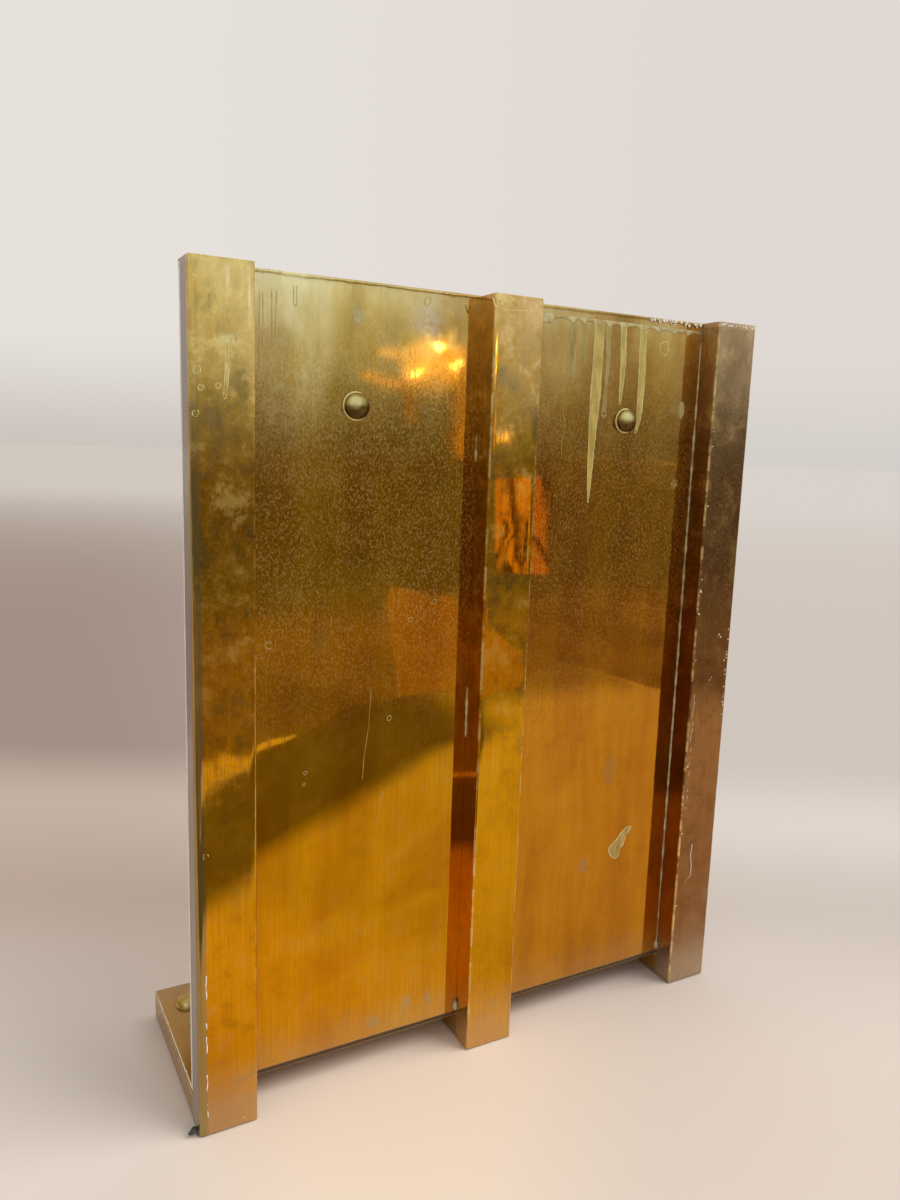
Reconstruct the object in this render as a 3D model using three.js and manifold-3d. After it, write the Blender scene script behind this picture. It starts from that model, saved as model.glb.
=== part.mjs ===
// A free-standing, brass-clad magazine rack: an upright ribbed panel with a shallow shelf behind it.
//
// Three ribs run down the outer side of the panel, turn the corner and run back along the floor as feet.
// Each rib is a wooden batten in a folded brass channel. The panel and the shelf are hardboard with a thin
// brass sheet on each face. The panel stands on the shelf's front edge, against the back of the upright ribs.
//
// Millimetres, +Z up. X runs along the width and the ribbed side faces -Y. The origin is on the floor, under
// the middle of the footprint.

import * as THREE from "three";
import { mergeVertices } from "three/addons/utils/BufferGeometryUtils.js";
import Module from "manifold-3d";

// Overall size
const HEIGHT = 570;
const WIDTH = 454;
const DEPTH = 148;

// Stock that the rack is made of
const BATTEN_WIDTH = 38;
const BATTEN_DEPTH = 18;
const BATTEN_ARRIS = 1; // radius of a batten's eased outer edges
const CLADDING = 0.8; // brass round the battens
const CLADDING_FOLD = 1.6; // outer radius of the channel's two folds
const SHEET = 0.5; // brass on the panel and the shelf
const BOARD = 2; // hardboard inside the panel and the shelf
const JOINT = 0.2; // glue line or clearance between two pieces

// Felt pads under the ribs
const PAD = 0.8;
const PAD_WIDTH = 30;
const PAD_LENGTH = 28;
const PAD_INSET = 3; // from the front of the rack, and from its back

// Brass strip over the panel's top edge
const STRIP_LEG = 6;

// Domed studs: bolts with cap nuts through the panel, screws down into the feet through the shelf
const DOME_RADIUS = 8.6;
const DOME_RISE = 6.8;
const RING_RADIUS = 9.6;
const RING = 0.8;
const BOLT_RADIUS = 3;
const BOLT_REACH = 6.6; // past the panel's inner face
const SCREW_RADIUS = 2.2;
const SCREW_REACH = 14; // into a foot's batten
const PANEL_STUD_X = 113.5; // either side of the middle
const PANEL_STUD_Z = 490;
const SHELF_STUD_BACK = 120; // from the front of the rack

// Cap nuts on the panel's inner face
const NUT_ACROSS_FLATS = 10;
const NUT_HEX = 4.2;
const NUT_DOME_RADIUS = 4.6;
const NUT_DOME_SUNK = 1; // how far the dome starts down inside the hexagon

// Dowels that hold the upright battens to the feet
const DOWEL_RADIUS = 4;
const DOWEL_IN_POST = 13;
const DOWEL_IN_FOOT = 30;

const ROUND = 32; // sides of a round piece
const PAST = 1; // how far a cutter, or a tongue that joins another piece, reaches past a face
const FOLD_STEPS = 3;

// Places that follow from the sizes above
const RIB_WIDTH = BATTEN_WIDTH + 2 * (CLADDING + JOINT);
const RIB_DEPTH = BATTEN_DEPTH + CLADDING + JOINT;
const LAMINATE = BOARD + 2 * (SHEET + JOINT);
const RIB_X = (WIDTH - RIB_WIDTH) / 2;
const FRONT = -DEPTH / 2;
const BACK = DEPTH / 2;
const POST_BACK = FRONT + RIB_DEPTH;
const PANEL_FRONT = POST_BACK + JOINT;
const PANEL_BACK = PANEL_FRONT + LAMINATE;
const RIB_BOTTOM = PAD + JOINT;
const BATTEN_BOTTOM = RIB_BOTTOM + CLADDING + JOINT;
const FOOT_TOP = RIB_BOTTOM + RIB_DEPTH;
const SHELF_UNDERSIDE = FOOT_TOP + JOINT;
const SHELF_TOP = SHELF_UNDERSIDE + LAMINATE;
const PANEL_BOTTOM = SHELF_TOP + JOINT;
const PANEL_TOP = HEIGHT - SHEET - JOINT;
const POST_TOP = HEIGHT - CLADDING - JOINT;
const FOOT_FRONT = POST_BACK + JOINT;
const FOOT_BACK = BACK - CLADDING - JOINT;
const SHELF_STUD_Y = FRONT + SHELF_STUD_BACK;
const DOWEL_Z = BATTEN_BOTTOM + BATTEN_DEPTH / 2;

const metal = (color, roughness) =>
  new THREE.MeshStandardMaterial({ color, roughness, metalness: 1 });
const matt = (color, roughness) =>
  new THREE.MeshStandardMaterial({ color, roughness, metalness: 0 });
const BRASS = metal(0xb5842c, 0.3);
const PANEL_BRASS = metal(0xb07c1e, 0.25);
const STUD_BRASS = metal(0xc39a4a, 0.3);
const WOOD = matt(0xb48f62, 0.8);
const HARDBOARD = matt(0x5f4632, 0.9);
const FELT = matt(0x30362f, 1);

const wasm = await Module();
wasm.setup();

function toSolid(geometry) {
  const bare = geometry.clone();
  bare.deleteAttribute("normal");
  bare.deleteAttribute("uv");
  const merged = mergeVertices(bare, 1e-4);
  return new wasm.Manifold(
    new wasm.Mesh({
      numProp: 3,
      vertProperties: new Float32Array(merged.attributes.position.array),
      triVerts: new Uint32Array(merged.index.array),
    }),
  );
}

function toGeometry(solid) {
  const mesh = solid.getMesh();
  const geometry = new THREE.BufferGeometry();
  geometry.setAttribute("position", new THREE.BufferAttribute(mesh.vertProperties, 3));
  geometry.setIndex(new THREE.BufferAttribute(mesh.triVerts, 1));
  geometry.computeVertexNormals();
  return geometry;
}

const join = (first, ...others) =>
  toGeometry(others.reduce((whole, other) => whole.add(toSolid(other)), toSolid(first)));
const cut = (first, ...tools) =>
  toGeometry(tools.reduce((rest, tool) => rest.subtract(toSolid(tool)), toSolid(first)));

// A box between two opposite corners
function block([x0, y0, z0], [x1, y1, z1]) {
  return new THREE.BoxGeometry(x1 - x0, y1 - y0, z1 - z0).translate(
    (x0 + x1) / 2,
    (y0 + y1) / 2,
    (z0 + z1) / 2,
  );
}

// A cylinder along Y
function barAlongY(radius, y0, y1) {
  return new THREE.CylinderGeometry(radius, radius, y1 - y0, ROUND).translate(0, (y0 + y1) / 2, 0);
}

// A cylinder along Z
function barAlongZ(radius, z0, z1) {
  return new THREE.CylinderGeometry(radius, radius, z1 - z0, ROUND)
    .rotateX(Math.PI / 2)
    .translate(0, 0, (z0 + z1) / 2);
}

// Section of the brass channel: its closed side is along y = 0, its open side along y = RIB_DEPTH
function channelSection() {
  const side = RIB_WIDTH / 2;
  const corner = side - CLADDING_FOLD;
  const inner = CLADDING_FOLD - CLADDING;
  const down = 1.5 * Math.PI;
  const section = new THREE.Shape();
  section.moveTo(-side, RIB_DEPTH);
  section.absarc(-corner, CLADDING_FOLD, CLADDING_FOLD, Math.PI, down, false);
  section.absarc(corner, CLADDING_FOLD, CLADDING_FOLD, down, 2 * Math.PI, false);
  section.lineTo(side, RIB_DEPTH);
  section.lineTo(side - CLADDING, RIB_DEPTH);
  section.absarc(corner, CLADDING_FOLD, inner, 2 * Math.PI, down, true);
  section.absarc(-corner, CLADDING_FOLD, inner, down, Math.PI, true);
  section.lineTo(CLADDING - side, RIB_DEPTH);
  return section;
}

// Section of the batten inside the channel, in the same plane
function battenSection() {
  const side = BATTEN_WIDTH / 2;
  const face = CLADDING + JOINT;
  const down = 1.5 * Math.PI;
  const section = new THREE.Shape();
  section.moveTo(-side, RIB_DEPTH);
  section.absarc(BATTEN_ARRIS - side, face + BATTEN_ARRIS, BATTEN_ARRIS, Math.PI, down, false);
  section.absarc(side - BATTEN_ARRIS, face + BATTEN_ARRIS, BATTEN_ARRIS, down, 2 * Math.PI, false);
  section.lineTo(side, RIB_DEPTH);
  return section;
}

const extrude = (section, depth) =>
  new THREE.ExtrudeGeometry(section, { depth, bevelEnabled: false, curveSegments: FOLD_STEPS });

// A length of rib standing up, closed side to the front
const upright = (section, z0, z1) => extrude(section, z1 - z0).translate(0, FRONT, z0);

// A length of rib lying along the floor, closed side down
const lying = (section, y0, y1) =>
  extrude(section, y1 - y0).rotateX(Math.PI / 2).translate(0, y1, RIB_BOTTOM);

const dowelHole = (y0, y1) => barAlongY(DOWEL_RADIUS + JOINT, y0, y1).translate(0, 0, DOWEL_Z);

function postBatten() {
  const batten = upright(battenSection(), BATTEN_BOTTOM, POST_TOP);
  return cut(batten, dowelHole(POST_BACK - DOWEL_IN_POST - JOINT, POST_BACK + PAST));
}

const postCladding = () => upright(channelSection(), RIB_BOTTOM, POST_TOP);

function postCap() {
  const half = RIB_WIDTH / 2;
  return block([-half, FRONT, HEIGHT - CLADDING], [half, POST_BACK, HEIGHT]);
}

function footBatten() {
  const batten = lying(battenSection(), FOOT_FRONT, FOOT_BACK);
  const screwHole = barAlongZ(SCREW_RADIUS + JOINT, FOOT_TOP - SCREW_REACH - JOINT, FOOT_TOP + PAST);
  return cut(
    batten,
    dowelHole(FOOT_FRONT - PAST, FOOT_FRONT + DOWEL_IN_FOOT + JOINT),
    screwHole.translate(0, SHELF_STUD_Y, 0),
  );
}

// The foot's channel, with a tongue that runs forward under the post's batten
function footCladding() {
  const half = BATTEN_WIDTH / 2;
  const tongue = block(
    [-half, FRONT + CLADDING + JOINT, RIB_BOTTOM],
    [half, FOOT_FRONT + PAST, RIB_BOTTOM + CLADDING],
  );
  return join(lying(channelSection(), FOOT_FRONT, FOOT_BACK), tongue);
}

function footEndCap() {
  const half = RIB_WIDTH / 2;
  return block([-half, BACK - CLADDING, RIB_BOTTOM], [half, BACK, FOOT_TOP]);
}

const cornerDowel = () =>
  barAlongY(DOWEL_RADIUS, POST_BACK - DOWEL_IN_POST, FOOT_FRONT + DOWEL_IN_FOOT).translate(0, 0, DOWEL_Z);

const pad = (y0) => block([-PAD_WIDTH / 2, y0, 0], [PAD_WIDTH / 2, y0 + PAD_LENGTH, PAD]);

// A domed head on a round shank, pointing up, with the underside of its head at z = 0
function domedStud(shankRadius, shankLength) {
  const ball = (DOME_RADIUS ** 2 + DOME_RISE ** 2) / (2 * DOME_RISE);
  const rimAngle = Math.asin(DOME_RADIUS / ball);
  const steps = 8;
  const profile = [new THREE.Vector2(0, -shankLength), new THREE.Vector2(shankRadius, -shankLength)];
  profile.push(new THREE.Vector2(shankRadius, 0));
  for (let i = 0; i < steps; i += 1) {
    const angle = rimAngle * (1 - i / steps);
    profile.push(new THREE.Vector2(ball * Math.sin(angle), DOME_RISE - ball + ball * Math.cos(angle)));
  }
  profile.push(new THREE.Vector2(0, DOME_RISE));
  return new THREE.LatheGeometry(profile, ROUND).rotateX(Math.PI / 2);
}

// The flat ring under a domed head, from z = 0 up
function studRing(shankRadius) {
  return cut(barAlongZ(RING_RADIUS, 0, RING), barAlongZ(shankRadius + JOINT, -PAST, RING + PAST));
}

// A hexagonal cap nut with a domed end, pointing up, bored for the bolt's end
function capNut() {
  const steps = 6;
  const profile = [new THREE.Vector2(0, NUT_HEX - NUT_DOME_SUNK), new THREE.Vector2(NUT_DOME_RADIUS, NUT_HEX - NUT_DOME_SUNK)];
  for (let i = 0; i < steps; i += 1) {
    const angle = (i / steps) * (Math.PI / 2);
    const height = NUT_HEX + NUT_DOME_RADIUS * Math.sin(angle);
    profile.push(new THREE.Vector2(NUT_DOME_RADIUS * Math.cos(angle), height));
  }
  profile.push(new THREE.Vector2(0, NUT_HEX + NUT_DOME_RADIUS));
  const dome = new THREE.LatheGeometry(profile, ROUND).rotateX(Math.PI / 2);
  const hexRadius = NUT_ACROSS_FLATS / Math.sqrt(3);
  const hex = new THREE.CylinderGeometry(hexRadius, hexRadius, NUT_HEX, 6)
    .rotateX(Math.PI / 2)
    .translate(0, 0, NUT_HEX / 2);
  const bore = barAlongZ(BOLT_RADIUS + JOINT, -1, BOLT_REACH);
  return cut(join(hex, dome), bore);
}

// One layer of the panel, with a hole for each bolt
function panelLayer(y0, thickness) {
  const sheet = block([-WIDTH / 2, y0, PANEL_BOTTOM], [WIDTH / 2, y0 + thickness, PANEL_TOP]);
  const hole = (x) =>
    barAlongY(BOLT_RADIUS + JOINT, y0 - PAST, y0 + thickness + PAST).translate(x, 0, PANEL_STUD_Z);
  return cut(sheet, hole(-PANEL_STUD_X), hole(PANEL_STUD_X));
}

// The strip folded over the panel's top edge: its front leg is cut away behind each post
function panelTopStrip() {
  const outer = SHEET + JOINT;
  const bottom = HEIGHT - STRIP_LEG;
  const strip = block(
    [-WIDTH / 2, PANEL_FRONT - outer, bottom],
    [WIDTH / 2, PANEL_BACK + outer, HEIGHT],
  );
  const slot = block(
    [-WIDTH, PANEL_FRONT - JOINT, bottom - PAST],
    [WIDTH, PANEL_BACK + JOINT, HEIGHT - SHEET],
  );
  const reach = RIB_WIDTH / 2 + JOINT;
  const postNotch = (x) =>
    block([x - reach, FRONT, bottom - PAST], [x + reach, PANEL_FRONT, HEIGHT + PAST]);
  return cut(strip, slot, ...[-RIB_X, 0, RIB_X].map(postNotch));
}

// One layer of the shelf, with a hole for each screw; `inset` keeps it inside the top sheet's lips
function shelfLayer(z0, thickness, inset) {
  const layer = block(
    [inset - WIDTH / 2, FOOT_FRONT, z0],
    [WIDTH / 2 - inset, BACK - inset, z0 + thickness],
  );
  const hole = (x) =>
    barAlongZ(SCREW_RADIUS + JOINT, z0 - PAST, z0 + thickness + PAST).translate(x, SHELF_STUD_Y, 0);
  return cut(layer, ...[-RIB_X, 0, RIB_X].map(hole));
}

// The shelf's top sheet, folded down over the board's two ends and its back edge
function shelfTopSheet() {
  const tray = shelfLayer(SHELF_UNDERSIDE, LAMINATE, 0);
  const hollow = block(
    [SHEET - WIDTH / 2, FOOT_FRONT - PAST, SHELF_UNDERSIDE - PAST],
    [WIDTH / 2 - SHEET, BACK - SHEET, SHELF_TOP - SHEET],
  );
  return cut(tray, hollow);
}

function part(name, geometry, material) {
  const mesh = new THREE.Mesh(geometry, material);
  mesh.name = name;
  return mesh;
}

function at(object, x, y, z) {
  object.position.set(x, y, z);
  return object;
}

// An upright post with its foot, pads, dowel and shelf stud
function rib(side) {
  const group = new THREE.Group();
  const stud = domedStud(SCREW_RADIUS, SHELF_TOP + 2 * JOINT + RING - FOOT_TOP + SCREW_REACH);
  group.add(
    part(`${side}_post_batten`, postBatten(), WOOD),
    part(`${side}_post_cladding`, postCladding(), BRASS),
    part(`${side}_post_cap`, postCap(), BRASS),
    part(`${side}_foot_batten`, footBatten(), WOOD),
    part(`${side}_foot_cladding`, footCladding(), BRASS),
    part(`${side}_foot_end_cap`, footEndCap(), BRASS),
    part(`${side}_corner_dowel`, cornerDowel(), WOOD),
    part(`${side}_front_pad`, pad(FRONT + PAD_INSET), FELT),
    part(`${side}_rear_pad`, pad(BACK - PAD_INSET - PAD_LENGTH), FELT),
    at(part(`${side}_shelf_stud_ring`, studRing(SCREW_RADIUS), STUD_BRASS), 0, SHELF_STUD_Y, SHELF_TOP + JOINT),
    at(part(`${side}_shelf_stud`, stud, STUD_BRASS), 0, SHELF_STUD_Y, SHELF_TOP + 2 * JOINT + RING),
  );
  return group;
}

// A bolt through the panel with its ring, and the cap nut on the inner face
function panelFixing(side) {
  const group = new THREE.Group();
  const head = PANEL_FRONT - 2 * JOINT - RING;
  const shank = PANEL_BACK + BOLT_REACH - JOINT - head;
  const outward = new THREE.Group();
  outward.rotation.x = Math.PI / 2;
  outward.add(
    at(part(`${side}_panel_stud_ring`, studRing(BOLT_RADIUS), STUD_BRASS), 0, 0, JOINT - PANEL_FRONT),
    at(part(`${side}_panel_stud`, domedStud(BOLT_RADIUS, shank), STUD_BRASS), 0, 0, -head),
  );
  const nut = at(part(`${side}_panel_cap_nut`, capNut(), STUD_BRASS), 0, PANEL_BACK + JOINT, 0);
  nut.rotation.x = -Math.PI / 2;
  group.add(outward, nut);
  return group;
}

const rack = new THREE.Group();
rack.add(
  at(rib("left"), -RIB_X, 0, 0),
  at(rib("middle"), 0, 0, 0),
  at(rib("right"), RIB_X, 0, 0),
  part("panel_front_sheet", panelLayer(PANEL_FRONT, SHEET), PANEL_BRASS),
  part("panel_board", panelLayer(PANEL_FRONT + SHEET + JOINT, BOARD), HARDBOARD),
  part("panel_rear_sheet", panelLayer(PANEL_BACK - SHEET, SHEET), PANEL_BRASS),
  part("panel_top_strip", panelTopStrip(), BRASS),
  part("shelf_top_sheet", shelfTopSheet(), PANEL_BRASS),
  part("shelf_board", shelfLayer(SHELF_UNDERSIDE + SHEET + JOINT, BOARD, SHEET + JOINT), HARDBOARD),
  part("shelf_under_sheet", shelfLayer(SHELF_UNDERSIDE, SHEET, SHEET + JOINT), PANEL_BRASS),
  at(panelFixing("left"), -PANEL_STUD_X, 0, PANEL_STUD_Z),
  at(panelFixing("right"), PANEL_STUD_X, 0, PANEL_STUD_Z),
);

export default rack;
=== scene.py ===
"""A brass-clad magazine rack on a pale floor: the looks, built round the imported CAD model.

Metres, +Z up, the ribbed side faces -Y. Places come from the CAD nodes' boxes.
"""

import math

import bmesh
import bpy
import numpy as np
from mathutils import Matrix, Vector


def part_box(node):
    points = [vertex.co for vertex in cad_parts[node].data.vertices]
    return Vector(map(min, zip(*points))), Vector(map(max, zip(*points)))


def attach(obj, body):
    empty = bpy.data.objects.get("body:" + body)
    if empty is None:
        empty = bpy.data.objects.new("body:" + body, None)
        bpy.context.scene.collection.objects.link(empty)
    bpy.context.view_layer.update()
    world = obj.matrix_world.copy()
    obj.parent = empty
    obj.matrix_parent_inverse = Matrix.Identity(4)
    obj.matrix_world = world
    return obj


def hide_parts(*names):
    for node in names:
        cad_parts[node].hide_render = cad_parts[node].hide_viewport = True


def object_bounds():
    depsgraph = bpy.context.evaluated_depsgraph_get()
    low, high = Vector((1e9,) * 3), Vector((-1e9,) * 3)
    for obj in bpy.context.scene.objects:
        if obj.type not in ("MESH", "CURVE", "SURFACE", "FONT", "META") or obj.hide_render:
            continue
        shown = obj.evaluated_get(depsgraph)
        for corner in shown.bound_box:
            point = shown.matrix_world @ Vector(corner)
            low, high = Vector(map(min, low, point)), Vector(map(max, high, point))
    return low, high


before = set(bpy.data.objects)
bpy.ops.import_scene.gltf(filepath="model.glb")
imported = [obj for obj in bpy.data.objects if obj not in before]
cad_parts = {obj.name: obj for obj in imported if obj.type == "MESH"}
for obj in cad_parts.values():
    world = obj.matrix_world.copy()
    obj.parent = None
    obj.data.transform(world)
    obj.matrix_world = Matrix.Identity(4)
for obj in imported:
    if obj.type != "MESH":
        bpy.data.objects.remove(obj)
cad_low, cad_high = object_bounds()

MM = 0.001
RIBS = ("left", "middle", "right")

# The camera: where it stands, and how it is turned, in degrees
CAMERA_AT = Vector((-0.3533, -0.6265, 0.4641))
CAMERA_YAW = -28.93
CAMERA_PITCH = -9.43
CAMERA_ROLL = -1.86
SENSOR_MM = 36  # the long side's, which is the image's height
FOCAL_SHARE = 910.2 / 1200  # focal length over the image's height


def make_camera():
    data = bpy.data.cameras.new("camera")
    data.sensor_width = SENSOR_MM
    data.lens = FOCAL_SHARE * SENSOR_MM
    data.clip_start = 0.01
    data.clip_end = 50
    camera = bpy.data.objects.new("camera", data)
    turn = (
        Matrix.Rotation(math.radians(CAMERA_YAW), 4, "Z")
        @ Matrix.Rotation(math.radians(CAMERA_PITCH), 4, "X")
        @ Matrix.Rotation(math.radians(CAMERA_ROLL), 4, "Y")
        @ Matrix.Rotation(math.pi / 2, 4, "X")
    )
    camera.matrix_world = Matrix.Translation(CAMERA_AT) @ turn
    bpy.context.scene.collection.objects.link(camera)
    bpy.context.scene.camera = camera


make_camera()
bpy.context.scene.view_settings.view_transform = "Standard"


# ---------------------------------------------------------------- node graphs


class Field:
    """A node's output, which can be added, subtracted and multiplied."""

    def __init__(self, graph, socket):
        self.graph = graph
        self.socket = socket

    def __add__(self, other):
        return self.graph.math("ADD", self, other)

    def __radd__(self, other):
        return self.graph.math("ADD", other, self)

    def __sub__(self, other):
        return self.graph.math("SUBTRACT", self, other)

    def __rsub__(self, other):
        return self.graph.math("SUBTRACT", other, self)

    def __mul__(self, other):
        return self.graph.math("MULTIPLY", self, other)

    def __rmul__(self, other):
        return self.graph.math("MULTIPLY", other, self)


class Graph:
    """Short calls for the nodes of a material. Most return one of the new node's outputs as a Field."""

    def __init__(self, tree):
        self.tree = tree
        tree.nodes.clear()

    def node(self, kind, inputs, **settings):
        node = self.tree.nodes.new(f"ShaderNode{kind}")
        for name, value in settings.items():
            setattr(node, name, value)
        for key, value in inputs.items():
            self.put(node.inputs[key], value)
        return node

    def add(self, kind, inputs=None, output=0, **settings):
        return Field(self, self.node(kind, inputs or {}, **settings).outputs[output])

    def put(self, socket, value):
        if isinstance(value, Field):
            self.tree.links.new(value.socket, socket)
        elif socket.type == "RGBA" and len(value) == 3:
            socket.default_value = (*value, 1)
        else:
            socket.default_value = value

    def math(self, operation, a, b=0.0, clamp=False):
        return self.add("Math", {0: a, 1: b}, operation=operation, use_clamp=clamp)

    def larger(self, a, b):
        return self.math("MAXIMUM", a, b)

    def smaller(self, a, b):
        return self.math("MINIMUM", a, b)

    def scaled(self, vector, scale):
        return self.add("VectorMath", {0: vector, 1: scale}, operation="MULTIPLY")

    def moved(self, vector, offset):
        return self.add("VectorMath", {0: vector, 1: offset}, operation="ADD")

    def distance(self, vector, point):
        return self.add("VectorMath", {0: vector, 1: point}, "Value", operation="DISTANCE")

    def dot(self, vector, other):
        return self.add("VectorMath", {0: vector, 1: other}, "Value", operation="DOT_PRODUCT")

    def length(self, a, b):
        return self.math("SQRT", a * a + b * b)

    def noise(self, vector, scale=1.0, detail=2.0, roughness=0.5, distortion=0.0):
        inputs = {"Vector": vector, "Scale": scale, "Detail": detail}
        inputs |= {"Roughness": roughness, "Distortion": distortion}
        return self.add("TexNoise", inputs)

    def step(self, value, low, high):
        """0 below low, 1 above high, smooth between them; low may be the larger."""
        inputs = {"Value": value, "From Min": low, "From Max": high}
        return self.add("MapRange", inputs, "Result", interpolation_type="SMOOTHSTEP")

    def mix(self, factor, a, b, blend="MIX"):
        return self.add("Mix", {"Factor": factor, 6: a, 7: b}, 2, data_type="RGBA", blend_type=blend)

    def bump(self, height, distance, strength=1.0, normal=None):
        inputs = {"Height": height, "Distance": distance, "Strength": strength}
        return self.add("Bump", inputs | ({"Normal": normal} if normal else {}))

    def split(self, vector):
        return [Field(self, socket) for socket in self.node("SeparateXYZ", {0: vector}).outputs]


def new_material(name):
    """A material, its graph and the place in the object's own metres."""
    material = bpy.data.materials.new(name)
    material.use_nodes = True
    g = Graph(material.node_tree)
    return material, g, g.add("TexCoord", output="Object")


def finish_material(g, **sockets):
    """Ends a material in a Principled shader; keyword underscores stand for spaces."""
    inputs = {name.replace("_", " "): value for name, value in sockets.items()}
    g.node("OutputMaterial", {"Surface": g.add("BsdfPrincipled", inputs)})


# ---------------------------------------------------------------- materials

GOLD = (0.64, 0.288, 0.002)
GOLD_BRIGHT = (0.68, 0.315, 0.003)
ROSE = (0.33, 0.150, 0.045)
OLIVE = (0.42, 0.33, 0.12)
VEIL = (0.84, 0.82, 0.42)
DUST = (0.50, 0.40, 0.27)


def darker(colour, share):
    return tuple(c * share for c in colour)


def brass(
    name, seed, along="Z", tint=GOLD, rough=0.02, haze=0.5, blotch=0.0, veil=0.0, veil_tone=VEIL, pits=0.0,
    dust=0.0, ease=None, extra=None,
):
    """Aged, lacquered sheet brass with a fine grain along one axis.

    haze is how clouded and stained it is, and blotch how patchy its tarnish is. veil is the pale bloom that
    grows towards the top edge, in veil_tone. pits is the density of small pale worm-like pits, and dust the
    pale film along the bottom edge. ease(g, place) is the share of veil kept at a place.
    extra(g, place, colour, film) may add marks and returns both again.
    """
    material, g, place = new_material(name)
    here = g.moved(place, (seed * 0.37, seed * 0.11, seed * 0.23))
    thin = {"X": (0.015, 1, 1), "Y": (1, 0.015, 1), "Z": (1, 1, 0.015)}[along]
    broad = {"X": (0.12, 1, 1), "Y": (1, 0.12, 1), "Z": (1, 1, 0.12)}[along]
    z = g.split(place)[2]

    grain = g.noise(g.scaled(here, thin), 1100, 3, 0.6)
    streak = g.noise(g.scaled(here, broad), 30, 3, 0.5)
    cloud = g.noise(here, 11, 4, 0.55, 0.6)
    mottle = g.noise(g.moved(here, (3.1, 1.7, 2.3)), 75, 5, 0.68)
    crumb = g.noise(g.scaled(here, (1, 1, 0.6)), 820, 3, 0.65)

    deep = (tint[0] * 0.80, tint[1] * 0.70, tint[2] * 0.7)
    lit = (tint[0] * 1.10, tint[1] * 1.24, tint[2] * 1.5)
    colour = g.mix(g.step(streak, 0.36, 0.62), deep, tint)
    colour = g.mix(g.step(cloud, 0.46, 0.7) * 0.6, colour, lit)
    colour = g.mix(g.step(grain, 0.40, 0.62) * 0.28, colour, darker(tint, 0.62))
    stain = g.step(cloud * 0.4 + mottle * 0.6, 0.5, 0.34)
    colour = g.mix(g.smaller(stain * (0.55 * haze), 0.8), colour, darker(tint, 0.45))

    spread = g.noise(g.moved(here, (9, 4, 6)), 44, 7, 0.74, 0.15)
    pale = g.step(spread, 0.5, 0.66) * (g.step(z, 0.18, 0.42) * blotch)
    dark = g.step(spread, 0.52, 0.36) * (g.step(z, 0.12, 0.36) * (0.66 * blotch))
    colour = g.mix(dark, colour, (0.20, 0.13, 0.030))
    colour = g.mix(pale * 0.5, colour, (0.84, 0.58, 0.13))

    bloom = g.step(cloud * 0.35 + mottle * 0.65, 0.5, 0.66)
    film = (0.01 + bloom * 0.1) * haze + pale * 0.22
    if veil:
        rise = g.math("POWER", g.step(z, 0.33, 0.60), 2.4)
        drift = g.noise(g.scaled(here, (1, 1, 0.35)), 26, 6, 0.68)
        patchy = 0.38 + g.step(drift, 0.34, 0.62) * 0.8
        share = rise * patchy * veil
        film = film + (share * ease(g, place) if ease else share)
    if dust:
        low = g.step(z + (mottle - 0.5) * 0.05, 0.06, 0.005)
        film = film + low * dust
    high = g.step(z, 0.40, 0.50)
    bloom_tone = g.mix(g.step(z, 0.25, 0.05), g.mix(high, OLIVE, veil_tone), DUST)
    colour = g.mix(g.smaller(film, 0.85), colour, bloom_tone)

    if pits:
        worms = g.step(crumb, 0.525, 0.600)
        field = g.noise(g.moved(here, (5, 2, 7)), 8, 4, 0.6)
        middle = g.step(z, 0.2, 0.42) * g.step(z, 0.56, 0.47)
        dense = g.step(field + middle * 0.3, 0.44, 0.7) * (0.22 + middle * 0.78)
        worms = worms * (dense * (0.48 * pits))
        hollow = g.step(crumb, 0.47, 0.4) * (dense * (0.32 * pits))
        colour = g.mix(hollow, colour, (0.13, 0.08, 0.02))
        colour = g.mix(worms, colour, (0.66, 0.50, 0.22))
        film = g.larger(film, worms * 0.4)
    if extra:
        colour, film = extra(g, place, colour, film)

    roughness = rough + g.step(grain, 0.48, 0.7) * 0.07
    roughness = roughness + g.step(mottle, 0.48, 0.75) * (0.07 * haze)
    roughness = roughness + film * 0.1
    metallic = g.math("SUBTRACT", 1.0, film * 0.95, clamp=True)
    normal = g.bump(grain, 0.0000012, 0.5)
    normal = g.bump(mottle, 0.000007 * haze, 0.5, normal)
    normal = g.bump(crumb, 0.000004 * pits, 0.5, normal) if pits else normal
    finish_material(g, Base_Color=colour, Metallic=metallic, Roughness=roughness, Normal=normal)
    return material


def left_bay_palest(g, place):
    """The panel's veil is thickest at its upper left and thin on the right of both bays."""
    x = g.split(place)[0]
    left = 0.24 + g.step(x, -0.105, -0.17) * 0.78
    right = 0.4 + g.step(x, 0.1, 0.04) * 0.15
    bay = g.step(x, -0.01, 0.02)
    share = left * (1.0 - bay) + right * bay
    return share + g.step(g.split(place)[2], 0.548, 0.566) * 0.22


def soft_spot(g, place, centre, reach, axes=(1, 1)):
    """1 in the middle of a soft round mark on a face that looks along Y, 0 outside it."""
    x, _, z = g.split(place)
    across = (x - centre[0]) * (axes[0] / reach)
    up = (z - centre[1]) * (axes[1] / reach)
    return g.step(g.length(across, up), 1.0, 0.2)


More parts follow.
